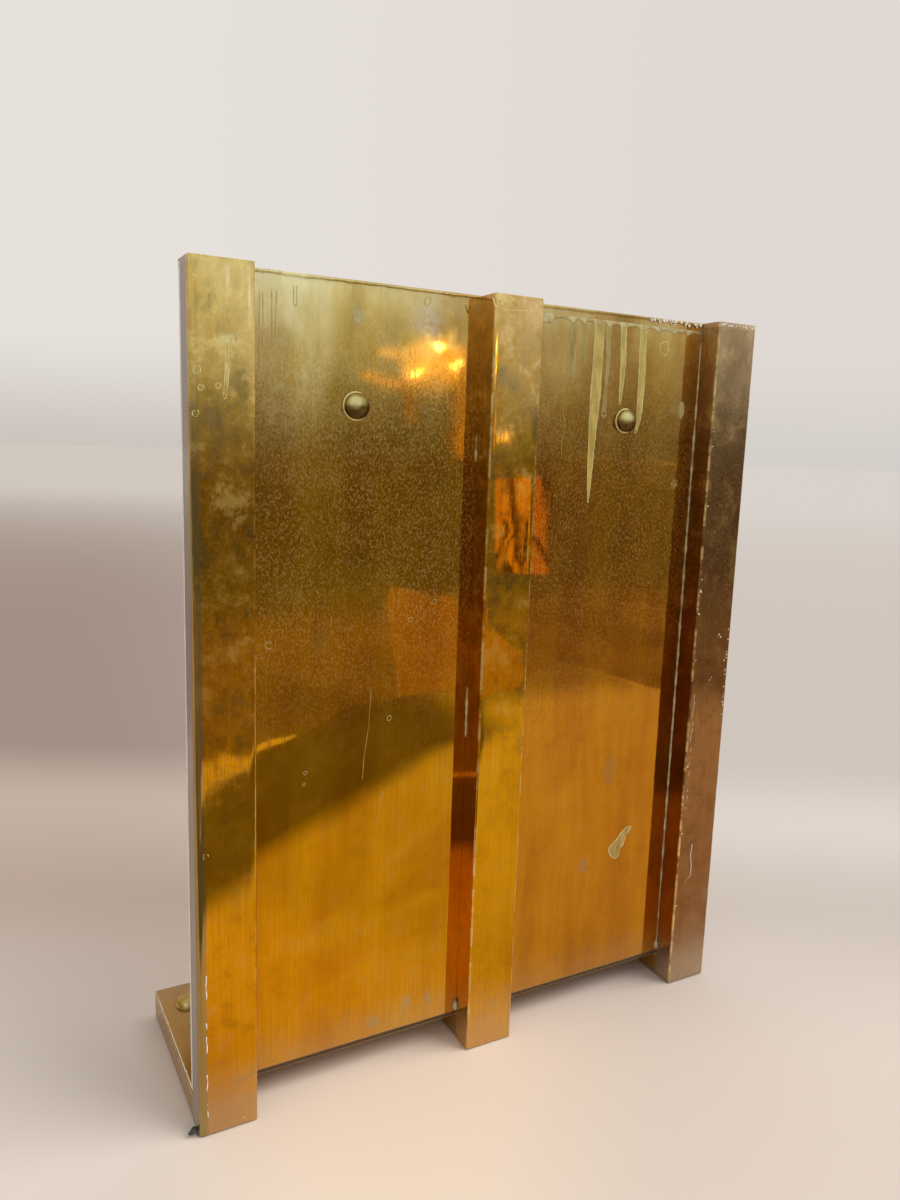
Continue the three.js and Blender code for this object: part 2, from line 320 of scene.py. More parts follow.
# Marks on the panel: middle (x, z), reach, (stretch across, stretch up), colour, strength, all in metres
PANEL_MARKS = [
    ((-0.092, 0.035), 0.007, (1, 0.9), (0.34, 0.33, 0.19), 0.75),
    ((-0.065, 0.043), 0.006, (1, 0.6), (0.36, 0.34, 0.19), 0.65),
    ((-0.046, 0.041), 0.006, (1, 0.6), (0.36, 0.34, 0.19), 0.60),
    ((-0.137, 0.333), 0.014, (1.6, 0.8), (0.16, 0.08, 0.01), 0.75),
    ((-0.062, 0.550), 0.016, (0.9, 0.9), (0.60, 0.50, 0.40), 0.45),
    ((0.121, 0.203), 0.014, (1.3, 0.7), (0.24, 0.16, 0.05), 0.55),
    ((0.099, 0.122), 0.008, (1, 0.8), (0.26, 0.20, 0.10), 0.65),
    ((0.1687, 0.4417), 0.0065, (1, 1), (0.66, 0.52, 0.18), 0.80),
    ((-0.113, 0.548), 0.007, (1, 0.8), (0.50, 0.48, 0.30), 0.5),
]


def panel_marks(g, place, colour, film):
    """A duller right bay, fingerprints, smudges and rubbed spots."""
    bay = g.step(g.split(place)[0], -0.01, 0.03)
    colour = g.mix(bay, colour, g.mix(1.0, colour, (0.93, 0.82, 0.60), "MULTIPLY"))
    colour = g.mix(bay * 0.025, colour, DUST)
    film = film + bay * 0.035
    break_up = g.step(g.noise(place, 240, 4, 0.65), 0.30, 0.60)
    for centre, reach, axes, tone, strength in PANEL_MARKS:
        spot = soft_spot(g, place, centre, reach, axes) * break_up * strength
        colour = g.mix(spot, colour, tone)
        film = g.larger(film, spot * 0.7)
    return colour, film


# Soft marks on the left rib, given as PANEL_MARKS are
LEFT_RIB_MARKS = [
    ((-0.203, 0.5235), 0.0125, (1, 2.4), (0.90, 0.70, 0.26), 0.85),
    ((-0.2045, 0.505), 0.0145, (8.0, 0.8), (0.90, 0.70, 0.26), 0.80),
    ((-0.2035, 0.559), 0.0110, (6.0, 1.0), (0.90, 0.72, 0.30), 0.70),
    ((-0.1907, 0.549), 0.0190, (10.0, 0.8), (0.90, 0.72, 0.30), 0.80),
    ((-0.216, 0.545), 0.0150, (2.0, 1.2), (0.20, 0.14, 0.035), 0.55),
    ((-0.196, 0.500), 0.0150, (2.0, 0.8), (0.20, 0.15, 0.045), 0.55),
    ((-0.213, 0.478), 0.0140, (1.6, 0.6), (0.24, 0.19, 0.070), 0.45),
]


def left_rib_marks(g, place, colour, film):
    """The olive band down the soft left fold, a painted mauve-grey reflection of the grey backdrop on the
    left side, and pale dried marks near the top.
    """
    break_up = g.step(g.noise(place, 150, 5, 0.7), 0.36, 0.58)
    for centre, reach, axes, tone, strength in LEFT_RIB_MARKS:
        spot = soft_spot(g, place, centre, reach, axes) * break_up * strength
        colour = g.mix(spot, colour, tone)
        film = g.larger(film, spot * 0.35)
    x, y, z = g.split(place)
    wander = (g.noise(g.scaled(place, (0, 0, 1)), 9, 2) - 0.5) * 0.003
    band = g.step(x + wander, -0.2205, -0.2222) * 0.75
    side = g.step(y, -0.0712, -0.0698)
    painted_side_reflection = side * g.step(x, -0.226, -0.2268)
    colour = g.mix(band * g.step(z, 0.56, 0.4), colour, (0.3, 0.23, 0.085))
    # The left side's mauve-grey is a painted reflection of the grey backdrop.
    colour = g.mix(painted_side_reflection, colour, (0.25, 0.19, 0.145))
    film = g.larger(film, painted_side_reflection * 0.8)
    return colour, film


def stud_brass():
    """Duller brass for the studs, with painted shade underneath and a painted highlight where the dome turns
    to the room's light.
    """
    material, g, place = new_material("stud_brass")
    cloud = g.noise(place, 160, 4, 0.6)
    colour = g.mix(g.step(cloud, 0.4, 0.65), (0.36, 0.22, 0.045), (0.54, 0.37, 0.105))
    normal = g.add("NewGeometry", output="Normal")
    # Painted shade: the panel studs' domes turn dark where they face down.
    under = g.step(g.split(normal)[2], 0.35, -0.55) * g.step(g.split(place)[2], 0.05, 0.10)
    colour = g.mix(under * 0.85, colour, (0.045, 0.022, 0.004))
    # Painted highlight: brighter gold where the dome faces a fixed direction towards the room's light.
    painted_highlight = g.dot(normal, (-0.27, -0.94, 0.20))
    colour = g.mix(g.step(painted_highlight, 0.86, 0.99) * 0.60, colour, (0.95, 0.68, 0.24))
    roughness = 0.30 + g.step(cloud, 0.4, 0.7) * 0.14
    normal = g.bump(g.noise(place, 500, 3), 0.00012, 0.5)
    finish_material(g, Base_Color=colour, Metallic=1.0, Roughness=roughness, Normal=normal)
    return material


def mottled(name, noise, limits, tones, roughness, bump, stretch=(1, 1, 1)):
    """Two tones mixed by one noise, with a bump of (distance, strength) from the same noise."""
    material, g, place = new_material(name)
    field = g.noise(g.scaled(place, stretch), *noise)
    colour = g.mix(g.step(field, *limits), *tones)
    finish_material(g, Base_Color=colour, Roughness=roughness, Normal=g.bump(field, *bump))
    return material


def felt():
    material, g, place = new_material("felt")
    fibre = g.noise(place, 1800, 6, 0.75, 1.5)
    clump = g.noise(place, 300, 3)
    colour = g.mix(g.step(fibre, 0.3, 0.7), (0.012, 0.016, 0.012), (0.07, 0.085, 0.065))
    colour = g.mix(g.step(clump, 0.55, 0.7) * 0.4, colour, (0.16, 0.17, 0.14))
    normal = g.bump(fibre, 0.0006, 0.8)
    finish_material(g, Base_Color=colour, Roughness=0.95, Normal=normal, Sheen_Weight=0.25)
    return material


def lacquer(name, pale, deep, metal):
    """A dried run of lacquer: pale and nearly opaque, or thin with the brass showing through."""
    material, g, place = new_material(name)
    cloud = g.noise(g.scaled(place, (1, 1, 0.3)), 180, 3)
    fleck = g.step(g.noise(place, 900, 2), 0.64, 0.72)
    colour = g.mix(g.step(cloud, 0.35, 0.65), deep, pale)
    colour = g.mix(fleck * 0.6, colour, (0.16, 0.11, 0.02))
    normal = g.bump(cloud, 0.0001, 0.4)
    finish_material(g, Base_Color=colour, Metallic=metal, Roughness=0.32, Normal=normal, Coat_Weight=0.4)
    return material


# ---------------------------------------------------------------- mesh helpers


def new_piece(name, vertices, faces, material, smooth=True):
    mesh = bpy.data.meshes.new(name)
    mesh.from_pydata([tuple(v) for v in vertices], [], faces)
    mesh.validate()
    piece = bpy.data.objects.new(name, mesh)
    bpy.context.scene.collection.objects.link(piece)
    mesh.materials.append(material)
    mesh.polygons.foreach_set("use_smooth", [smooth] * len(mesh.polygons))
    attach(piece, "root")
    return piece


def keep_edges_crisp(piece, degrees):
    mesh = piece.data
    bm = bmesh.new()
    bm.from_mesh(mesh)
    bmesh.ops.recalc_face_normals(bm, faces=bm.faces)
    for edge in bm.edges:
        edge.smooth = len(edge.link_faces) == 2 and edge.calc_face_angle(0) < math.radians(degrees)
    bm.to_mesh(mesh)
    bm.free()


def loft(name, rings, material, endless=False, crisp=None):
    """A closed skin over rings of equally many points: capped at both ends, or endless, like a hoop.

    crisp is the angle in degrees from which an edge stays sharp.
    """
    count = len(rings[0])
    vertices = [p for ring in rings for p in ring]
    faces = []
    for i in range(len(rings) if endless else len(rings) - 1):
        for j in range(count):
            k = (j + 1) % count
            after = (i + 1) % len(rings)
            faces.append((i * count + j, i * count + k, after * count + k, after * count + j))
    if not endless:
        faces.append(tuple(reversed(range(count))))
        last = (len(rings) - 1) * count
        faces.append(tuple(range(last, last + count)))
    piece = new_piece(name, vertices, faces, material)
    if crisp:
        keep_edges_crisp(piece, crisp)
    return piece


def angles(count):
    return [2 * math.pi * k / count for k in range(count)]


def spaced(low, high, step):
    return np.linspace(low, high, max(2, int(round((high - low) / step)) + 1))


def ripple(u, v, seed, waves=5, longest=0.22, shortest=0.05):
    """A smooth, repeatable field of about -1 to 1 over a flat surface."""
    rng = np.random.default_rng(seed)
    total = np.zeros(np.broadcast(u, v).shape)
    for _ in range(waves):
        angle = rng.uniform(0, math.pi)
        length = rng.uniform(shortest, longest)
        phase = rng.uniform(0, 2 * math.pi)
        wave = np.sin(2 * math.pi * (u * math.cos(angle) + v * math.sin(angle)) / length + phase)
        total = total + wave * length / longest
    return total / waves * 1.6


# ---------------------------------------------------------------- sheets

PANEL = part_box("panel_front_sheet")
PANEL_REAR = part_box("panel_rear_sheet")
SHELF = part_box("shelf_top_sheet")
SHEET_THICK = 0.5 * MM
CHANNEL_THICK = 0.8 * MM
STUD_BOXES = [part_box(f"{side}_panel_stud_ring") for side in ("left", "right")]
STUD_AT = [((low.x + high.x) / 2, (low.z + high.z) / 2) for low, high in STUD_BOXES]


def dimple(x, z, centre, radius, height):
    """A smooth bump, or a dent where height is negative, at a point of the panel."""
    reach = np.hypot((x - centre[0]) / radius[0], (z - centre[1]) / radius[1])
    return height * np.exp(-(reach**2) * 2.5)


def sheet_piece(name, box, facing, seed, material, marks=(), inset=0.4 * MM):
    """A thin upright sheet whose outer face is very slightly uneven; facing is -1 or 1 along Y.

    Its ends are set back by inset, which leaves room for the filler along them.
    """
    low, high = box[0].copy(), box[1].copy()
    low.x += inset
    high.x -= inset
    xs = spaced(low.x, high.x, 3.5 * MM)
    zs = spaced(low.z, high.z, 3.5 * MM)
    x, z = np.meshgrid(xs, zs)
    outer = low.y if facing < 0 else high.y
    inner = high.y if facing < 0 else low.y
    lift = 0.07 * MM * ripple(x, z, seed) + 0.03 * MM * ripple(x, z, seed + 1, 6, 0.06, 0.02)
    for centre in STUD_AT:
        lift = lift + dimple(x, z, centre, (0.03, 0.03), -0.12 * MM)
    for centre, radius, height in marks:
        lift = lift + dimple(x, z, centre, radius, height)
    edge = np.minimum.reduce([x - low.x, high.x - x, z - low.z, high.z - z])
    lift = lift * np.clip(edge / (6 * MM), 0, 1)
    face = np.stack([x, outer + facing * lift, z], -1).reshape(-1, 3)
    rows, columns = x.shape
    index = np.arange(rows * columns).reshape(rows, columns)
    faces = []
    for i in range(rows - 1):
        for j in range(columns - 1):
            faces.append((index[i, j], index[i, j + 1], index[i + 1, j + 1], index[i + 1, j]))
    border = [*index[0, :], *index[1:, -1], *index[-1, -2::-1], *index[-2:0:-1, 0]]
    back = len(face) + np.arange(len(border))
    rear = face[border].copy()
    rear[:, 1] = inner
    for i in range(len(border)):
        k = (i + 1) % len(border)
        faces.append((border[i], back[i], back[k], border[k]))
    faces.append(tuple(reversed(back.tolist())))
    faces = [tuple(int(n) for n in f) for f in faces]
    piece = new_piece(name, np.vstack([face, rear]), faces, material)
    keep_edges_crisp(piece, 35)
    return piece


def mesh_parts(bm):
    """The corners and faces of a bmesh, which is freed."""
    bm.verts.index_update()
    vertices = [tuple(v.co) for v in bm.verts]
    faces = [tuple(v.index for v in f.verts) for f in bm.faces]
    bm.free()
    return vertices, faces


def tray_piece(name, box, material):
    """The shelf's top sheet: a plate folded down at both ends and at the back."""
    low, high = box
    size = high - low
    half = Vector((0.5, 0.5, 0.5))
    bm = bmesh.new()
    bmesh.ops.create_cube(bm, size=1)
    for v in bm.verts:
        v.co = low + Vector([side * share for side, share in zip(size, v.co + half)])
    open_faces = [f for f in bm.faces if f.normal.z < -0.5 or f.normal.y < -0.5]
    bmesh.ops.delete(bm, geom=open_faces, context="FACES")
    folds = [e for e in bm.edges if len(e.link_faces) == 2]
    bmesh.ops.bevel(bm, geom=folds, offset=0.7 * MM, segments=4, profile=0.5, affect="EDGES")
    long_edges = [e for e in bm.edges if e.calc_length() > 0.4]
    bmesh.ops.subdivide_edges(bm, edges=long_edges, cuts=90, use_grid_fill=True)
    piece = new_piece(name, *mesh_parts(bm), material)
    solid = piece.modifiers.new("thickness", "SOLIDIFY")
    solid.thickness = SHEET_THICK
    solid.offset = -1
    return piece


# ---------------------------------------------------------------- rib cladding


def channel_rings(box, turn, fold_left, fold_right, seed):
    """Rings of a folded brass channel along a rib. turn maps (across, depth, along) to a point.

    Across runs 0 to 1 over the rib's width; depth is metres in from the closed face; along is metres.
    """
    width, depth, start, end = box
    rings = []
    levels = [(s, 0.0) for s in spaced(start, end - 0.3 * MM, 5 * MM)]
    levels += [(end - 0.12 * MM, 0.04 * MM), (end, 0.15 * MM), (end + 0.1 * MM, 0.35 * MM)]
    for s, inset in levels:
        rl, rr = fold_left(s), fold_right(s)
        outer = [(0.0, y) for y in np.linspace(depth, rl + 0.6 * MM, 5)]
        arc = [math.pi + k / 8 * math.pi / 2 for k in range(9)]
        outer += [(rl + rl * math.cos(a), rl + rl * math.sin(a)) for a in arc]
        outer += [(rl + (width - rl - rr) * k / 10, 0.0) for k in range(1, 10)]
        arc = [1.5 * math.pi + k / 8 * math.pi / 2 for k in range(9)]
        outer += [(width - rr + rr * math.cos(a), rr + rr * math.sin(a)) for a in arc]
        outer += [(width, y) for y in np.linspace(rr + 0.6 * MM, depth, 5)]
        points = np.array(outer)
        inward = np.array([width / 2, depth * 0.75]) - points
        normal = np.zeros_like(points)
        tangent = np.gradient(points, axis=0)
        normal[:, 0], normal[:, 1] = -tangent[:, 1], tangent[:, 0]
        normal /= np.linalg.norm(normal, axis=1)[:, None]
        flip = np.sign((normal * inward).sum(1))
        flip[flip == 0] = 1
        normal *= flip[:, None]
        inner = points + normal * CHANNEL_THICK
        inner[0, 1] = inner[-1, 1] = depth
        dent = 0.09 * MM * (1 + ripple(points[:, 0] + seed, s, seed + 3, 5, 0.16, 0.03))
        flat = np.clip(np.minimum(points[:, 0], width - points[:, 0]) / (4 * MM), 0, 1)
        points = points + normal * (dent * (0.35 + 0.65 * flat) + inset)[:, None]
        ring = [turn(x, y, s) for x, y in points] + [turn(x, y, s) for x, y in inner[::-1]]
        rings.append(ring)
    return rings


def post_piece(side, material, fold_left, fold_right, seed):
    low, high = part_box(f"{side}_post_cladding")
    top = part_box(f"{side}_post_cap")[1].z - 0.1 * MM
    box = (high.x - low.x, high.y - low.y, low.z, top)
    rings = channel_rings(box, lambda x, y, s: (low.x + x, low.y + y, s), fold_left, fold_right, seed)
    return loft(f"{side}_post_brass", rings, material, crisp=35)


def cap_piece(side, material, fold_left, fold_right):
    """The closed top of a rib: a thin plate whose edge rolls over into the cladding."""
    low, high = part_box(f"{side}_post_cap")
    top = high.z
    rl, rr = fold_left(top), fold_right(top)
    rings = []
    for inset, z in ((0.7, top - 0.7 * MM), (0.30, top - 0.35 * MM), (0.34, top - 0.10 * MM), (0.55, top)):
        gap = inset * MM
        left, right, front, back = low.x + gap, high.x - gap, low.y + gap, high.y
        ring = [(left, back, z)]
        for k in range(7):
            a = k / 6 * math.pi / 2
            ring.append((left + rl * (1 - math.cos(a)), front + rl * (1 - math.sin(a)), z))
        for k in range(7):
            a = (1 - k / 6) * math.pi / 2
            ring.append((right - rr * (1 - math.cos(a)), front + rr * (1 - math.sin(a)), z))
        ring.append((right, back, z))
        rings.append(ring)
    return loft(f"{side}_post_top", rings, material, crisp=60)


def hem_piece(box, material, seed):
    """The panel's rolled top edge: a U of thin brass whose front lip is narrow and a little ragged."""
    low, high = box
    thick = SHEET_THICK
    rng = np.random.default_rng(seed)
    phase = rng.uniform(0, 6.28, 4)
    rings = []
    for x in spaced(low.x, high.x, 2 * MM):
        rag = sum(math.sin(x * f + p) for f, p in zip((60, 170, 420, 900), phase)) / 4
        lip = high.z - (2.3 + 0.5 * rag) * MM
        front, back, top = low.y, high.y, high.z
        rear = low.z
        section = [
            (front + thick, lip), (front + 0.12 * MM, lip), (front, lip + 0.25 * MM), (front, top - 0.4 * MM),
            (front + 0.12 * MM, top - 0.12 * MM), (front + 0.4 * MM, top), (back - 0.4 * MM, top),
            (back - 0.12 * MM, top - 0.12 * MM), (back, top - 0.4 * MM), (back, rear), (back - thick, rear),
            (back - thick, top - thick), (front + thick, top - thick),
        ]
        rings.append([(x, y, z) for y, z in section])
    return loft("panel_hem", rings, material, crisp=60)


def even_fold(radius):
    """A fold with the same radius all along."""
    return lambda _: radius


def foot_piece(side, material, seed):
    low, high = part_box(f"{side}_foot_cladding")
    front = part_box(f"{side}_foot_batten")[0].y
    box = (high.x - low.x, high.z - low.z, front, high.y)
    fold = even_fold(1.6 * MM)
    rings = channel_rings(box, lambda x, y, s: (low.x + x, s, low.z + y), fold, fold, seed)
    return loft(f"{side}_foot_brass", rings, material, crisp=35)


# ---------------------------------------------------------------- studs


def spun(profile, centre, axis, sides=56):
    """Rings of a round piece: profile is (radius, height) pairs, up along axis from centre."""
    x = axis.orthogonal().normalized()
    y = axis.cross(x)
    rings = []
    for radius, height in profile:
        ring = []
        for a in angles(sides):
            ring.append(centre + axis * height + (x * math.cos(a) + y * math.sin(a)) * radius)
        rings.append(ring)
    return rings


def round_box(box, axis):
    """A round node's foot, its height along axis and its radius."""
    low, high = box
    size = high - low
    along = [abs(c) > 0.5 for c in axis].index(True)
    foot = (low + high) / 2
    foot[along] = low[along] if axis[along] > 0 else high[along]
    return foot, size[along], size[(along + 1) % 3] / 2


def stud_piece(name, head_box, axis, material):
    """A domed head with a small flat flange, standing on the ring under it."""
    foot, rise, radius = round_box(head_box, axis)
    ball = (radius**2 + rise**2) / (2 * rise)
    rim = math.asin(min(1.0, radius / ball))
    profile = [(0.2 * MM, 0.0), (radius - 0.3 * MM, 0.0)]
    for k in range(15):
        a = rim * (1 - k / 15)
        profile.append((ball * math.sin(a), rise - ball + ball * math.cos(a)))
    profile.append((0.05 * MM, rise))
    return loft(name, spun(profile, foot, axis), material)


def ring_piece(name, box, axis, material):
    """A flat ring with a rounded outer edge."""
    foot, height, radius = round_box(box, axis)
    hole = 3.4 * MM
    profile = [(hole, 0), (radius - 0.2 * MM, 0), (radius, 0.25 * height), (radius - 0.15 * MM, 0.6 * height)]
    profile += [(radius - 0.6 * MM, 0.92 * height), (radius - 1.1 * MM, height), (hole, height)]
    return loft(name, spun(profile, foot, axis), material)


# ---------------------------------------------------------------- glue and lacquer

PANEL_FACE = PANEL[0].y
RIB_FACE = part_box("left_post_cladding")[0].y
SUNK = 0.06 * MM  # how far a dried mark reaches behind the face it lies on


def bead(name, points, radius, material, seed, sides=8):
    """A rope of dried glue along points; radius is (metres at the start, metres at the end)."""
    rng = np.random.default_rng(seed)
    phase = rng.uniform(0, 6.28, 3)
    points = [Vector(p) for p in points]
    rings = []
    for i, p in enumerate(points):
        ahead = (points[min(i + 1, len(points) - 1)] - points[max(i - 1, 0)]).normalized()
        x = ahead.orthogonal().normalized()
        y = ahead.cross(x)
        t = i / (len(points) - 1)
        thick = radius[0] + (radius[1] - radius[0]) * t
        swell = 1 + 0.30 * math.sin(len(points) * 0.7 * t + phase[0])
        swell += 0.25 * math.sin(len(points) * 1.9 * t + phase[1])
        swell *= min(1, 0.35 + 4 * t, 0.35 + 4 * (1 - t))
        ring = []
        for a in angles(sides):
            lump = 1 + 0.18 * math.sin(2 * a + phase[2] + 11 * t)
            ring.append(p + (x * math.cos(a) + y * math.sin(a)) * thick * swell * lump)
        rings.append(ring)
    return loft(name, rings, material)


def line(start, end, step=2.5 * MM):
    """Evenly spaced points between two places."""
    start, end = Vector(start), Vector(end)
    count = max(3, int((end - start).length / step))
    return [start.lerp(end, i / count) for i in range(count + 1)]


def run_down(name, path, face, material, thick=0.22 * MM):
    """A run of lacquer down a face that looks along -Y. path is (x, z, width) from the top down, in mm."""
    path = np.array(path, float) * MM
    along = np.concatenate([[0], np.cumsum(np.hypot(np.diff(path[:, 0]), np.diff(path[:, 1])))])
    total = along[-1]
    where = spaced(0, total, 1.5 * MM)
    xs, zs, widths = (np.interp(where, along, path[:, k]) for k in range(3))
    for _ in range(3):
        xs[1:-1] = (xs[:-2] + 2 * xs[1:-1] + xs[2:]) / 4
    rings = []
    for s, x, z, width in zip(where, xs, zs, widths):
        left = total - s
        end = math.sqrt(min(1.0, left / max(width, 1 * MM)))
        half = width / 2 * max(end, 0.03)
        height = thick * max(end, 0.1) * (1 + 0.8 * math.exp(-((left / (3 * MM)) ** 2)))
        ring = []
        for k in range(11):
            a = math.pi * k / 10
            ring.append((x - half * math.cos(a), face - height * math.sin(a) ** 0.4, z))
        ring += [(x + half * 0.9, face + SUNK, z), (x - half * 0.9, face + SUNK, z)]
        rings.append(ring)
    return loft(name, rings, material)


def patch(name, centre, radii, face, material, seed, rough=0.15, thick=0.12 * MM, rim=0.24 * MM):
    """A dried spot with a raised rim and an uneven outline, on a face that looks along -Y, sizes in mm."""
    rng = np.random.default_rng(seed)
    waves = [(n, rng.uniform(0, 6.28), rng.uniform(0.3, 1)) for n in (2, 3, 5, 7, 11)]
    rings = []
    sides = 40
    profile = [(0.92, -SUNK), (1.0, 0.0), (0.97, rim), (0.88, rim * 0.9)]
    profile += [(0.78, thick), (0.4, thick), (0.03, thick)]
    for share, height in profile:
        ring = []
        for a in angles(sides):
            r = 1 + rough * sum(w * math.sin(n * a + p) for n, p, w in waves) / 2
            x = centre[0] + radii[0] * r * share * math.cos(a)
            z = centre[1] + radii[1] * r * share * math.sin(a)
            ring.append((x * MM, face - height, z * MM))
        rings.append(ring)
    return loft(name, rings, material)


def ridge(name, path, face, material, width=0.55, height=0.16, endless=False):
    """A thin raised line of dried lacquer through (x, z) points in mm, on a face that looks along -Y."""
    path = np.array(path, float)
    ahead = np.roll(path, -1, axis=0) - np.roll(path, 1, axis=0) if endless else np.gradient(path, axis=0)
    across = np.stack([-ahead[:, 1], ahead[:, 0]], -1)
    across /= np.linalg.norm(across, axis=1)[:, None]
    rings = []
    for number, (point, side) in enumerate(zip(path, across)):
        swell = 1 + 0.35 * math.sin(number * 0.9) * math.sin(number * 0.37)
        ring = []
        for k in range(7):
            a = math.pi * k / 6
            x, z = point - side * math.cos(a) * width * swell / 2
            ring.append((x * MM, face - height * swell * math.sin(a) * MM, z * MM))
        x, z = point
        ring.append((x * MM, face + SUNK, z * MM))
        rings.append(ring)
    return loft(name, rings, material, endless)


def run_rim(name, path, face, material, width=0.5, height=0.16):
    """The pale outline that a run leaves, down one side and up the other. A thin run is one line."""
    x_up, z_up, width_up = np.array(path, float)[::-1].T
    down = spaced(z_up[0], z_up[-1], 1.5)[::-1]
    xs = np.interp(down, z_up, x_up)
    if width_up.max() < 2.0:
        return ridge(name, list(zip(xs, down)), face, material, 0.4, 0.08)
    half = np.interp(down, z_up, width_up) / 2
    left = list(zip(xs - half, down))
    right = list(zip(xs + half, down))
    end = half[-1]
    turns = np.linspace(0.3, math.pi - 0.3, 7)
    turn = [(xs[-1] - end * math.cos(a), down[-1] - end * math.sin(a)) for a in turns]
    return ridge(name, left + turn + right[::-1], face, material, width, height)


def ring_mark(name, centre, radius, face, material, seed):
    """A dried drop: a pale ring that isn't quite round."""
    phase = np.random.default_rng(seed).uniform(0, 6.28, 2)
    path = []
    for a in np.linspace(0, 2 * math.pi, 22, endpoint=False):
        r = radius * (1 + 0.10 * math.sin(2 * a + phase[0]) + 0.06 * math.sin(3 * a + phase[1]))
        path.append((centre[0] + r * math.cos(a), centre[1] + r * 1.1 * math.sin(a)))
    return ridge(name, path, face, material, 0.55, 0.12, endless=True)


def film_band(name, x_from, x_to, top, low_edge, face, material, thick=0.14 * MM):
    """A thin coat of lacquer below a top edge; low_edge(x) gives its lower outline, all in mm."""
    rings = []
    for x in spaced(x_from, x_to, 1.2):
        low = low_edge(x)
        section = [
            (-SUNK, top), (thick, top - 0.3), (thick, low + 1.4), (thick * 1.9, low + 0.8),
            (thick * 1.6, low + 0.25), (-SUNK, low),
        ]
        rings.append([(x * MM, face - depth, z * MM) for depth, z in section])
    return loft(name, rings, material)


def flakes(name, places, size, material, seed):
    """Small angular chips, one at each of places, in one mesh; sizes in mm, kept behind the face at y."""
    rng = np.random.default_rng(seed)
    vertices, faces = [], []
    for x, y, z in places:
        count = int(rng.integers(5, 8))
        wide, tall = rng.uniform(0.5, 1, 2) * size
        thick = rng.uniform(0.12, 0.3)
        first = len(vertices)
        spin = rng.uniform(0, 6.28)
        for depth, shrink in ((0.0, 0.75), (thick, 1.0)):
            for a in angles(count):
                a += spin
                r = rng.uniform(0.6, 1) * shrink
                spot = Vector((x + wide * r * math.cos(a), y + depth, z + tall * r * math.sin(a))) * MM
                vertices.append([min(max(c, low), high) for c, low, high in zip(spot, cad_low, cad_high)])
        faces.append(tuple(first + k for k in range(count)))
        faces.append(tuple(first + count + k for k in reversed(range(count))))
        for k in range(count):
            n = (k + 1) % count
            faces.append((first + k, first + count + k, first + count + n, first + n))
    return new_piece(name, vertices, faces, material, smooth=False)


# ---------------------------------------------------------------- build the object


def rib_edges(side, worn, other=None):
    """Edge wear for a rib's front face: thin pale broken lines where its two folds are rubbed."""
    low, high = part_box(f"{side}_post_cladding")

    def marks(g, place, colour, film):
        x, y, _ = g.split(place)
        broken = g.step(g.noise(g.scaled(place, (0.3, 0.3, 1)), 60, 5, 0.7), 0.42, 0.60)
        front = g.step(y, low.y + 2.2 * MM, low.y + 1.2 * MM)
        left = g.step(x, low.x + 1.9 * MM, low.x + 0.9 * MM)
        right = g.step(x, high.x - 1.9 * MM, high.x - 0.9 * MM)
        wear = g.larger(left, right) * front * (broken * worn)
        colour = g.mix(wear, colour, (0.80, 0.58, 0.24))
        film = g.larger(film, wear * 0.45)
        if other:
            colour, film = other(g, place, colour, film)
        return colour, film

    return marks


def foot_marks(g, place, colour, film):
    """Dull brown-gold on top, and a pale line along the upper fold that is partly rubbed wear and partly a
    painted highlight.
    """
    z = g.split(place)[2]
    film = g.larger(film, 0.25 + g.noise(place, 60, 4) * 0.3)
    colour = g.mix(0.55, colour, (0.25, 0.155, 0.065))
    # A pale line along the upper fold: partly rubbed wear, partly a painted highlight.
    edge = g.step(z, 0.0178, 0.019) * g.step(g.noise(place, 90, 4, 0.7), 0.4, 0.55)
    edge = edge * g.step(z, 0.01995, 0.0196)
    return g.mix(edge, colour, (0.85, 0.66, 0.36)), film


def shelf_marks(g, place, colour, film):
    """A dull brown bloom, and a pale line along the upper fold of the left end, partly rubbed wear and partly
    a painted highlight.
    """
    x, _, z = g.split(place)
    colour = g.mix(0.62, colour, (0.25, 0.160, 0.072))
    film = g.larger(film, 0.32 + g.noise(place, 60, 4) * 0.3)
    # Partly rubbed wear, partly a painted highlight along the fold.
    worn = g.step(g.noise(place, 70, 4, 0.7), 0.36, 0.52)
    edge = g.step(x, -0.2262, -0.2268) * g.step(z, 0.0222, 0.023) * worn
    return g.mix(edge, colour, (0.88, 0.74, 0.5)), g.larger(film, edge * 0.8)


SHEET_BRASS = brass(
    "panel_brass", 1, blotch=0.22, veil=0.72, pits=1.0, dust=0.3, ease=left_bay_palest, extra=panel_marks,
)
REAR_BRASS = brass("inner_brass", 2, rough=0.08, haze=0.9, blotch=0.4, pits=0.3, dust=0.2)
SHELF_BRASS = brass("shelf_brass", 3, along="Y", rough=0.16, haze=1.0, extra=shelf_marks)
POST_BRASS = {
    "left": brass(
        "left_rib_brass", 5, rough=0.05, haze=0.9, blotch=1.0, veil=0.80, veil_tone=(0.86, 0.68, 0.22),
        pits=0.35, dust=0.4, extra=rib_edges("left", 0.35, left_rib_marks),
    ),
    "middle": brass(
        "middle_rib_brass", 6, tint=GOLD_BRIGHT, haze=0.45, blotch=1.0, veil=0.50,
        veil_tone=(0.84, 0.58, 0.25), pits=0.3, dust=0.35, extra=rib_edges("middle", 0.7),
    ),
    "right": brass(
        "right_rib_brass", 7, tint=ROSE, rough=0.12, haze=1.1, blotch=0.5, veil=0.50,
        veil_tone=(0.66, 0.46, 0.21), pits=0.5, dust=0.5, extra=rib_edges("right", 0.9),
    ),
}
FOOT_BRASS = brass("foot_brass", 8, along="Y", rough=0.20, haze=1.0, extra=foot_marks)
STUD_BRASS = stud_brass()
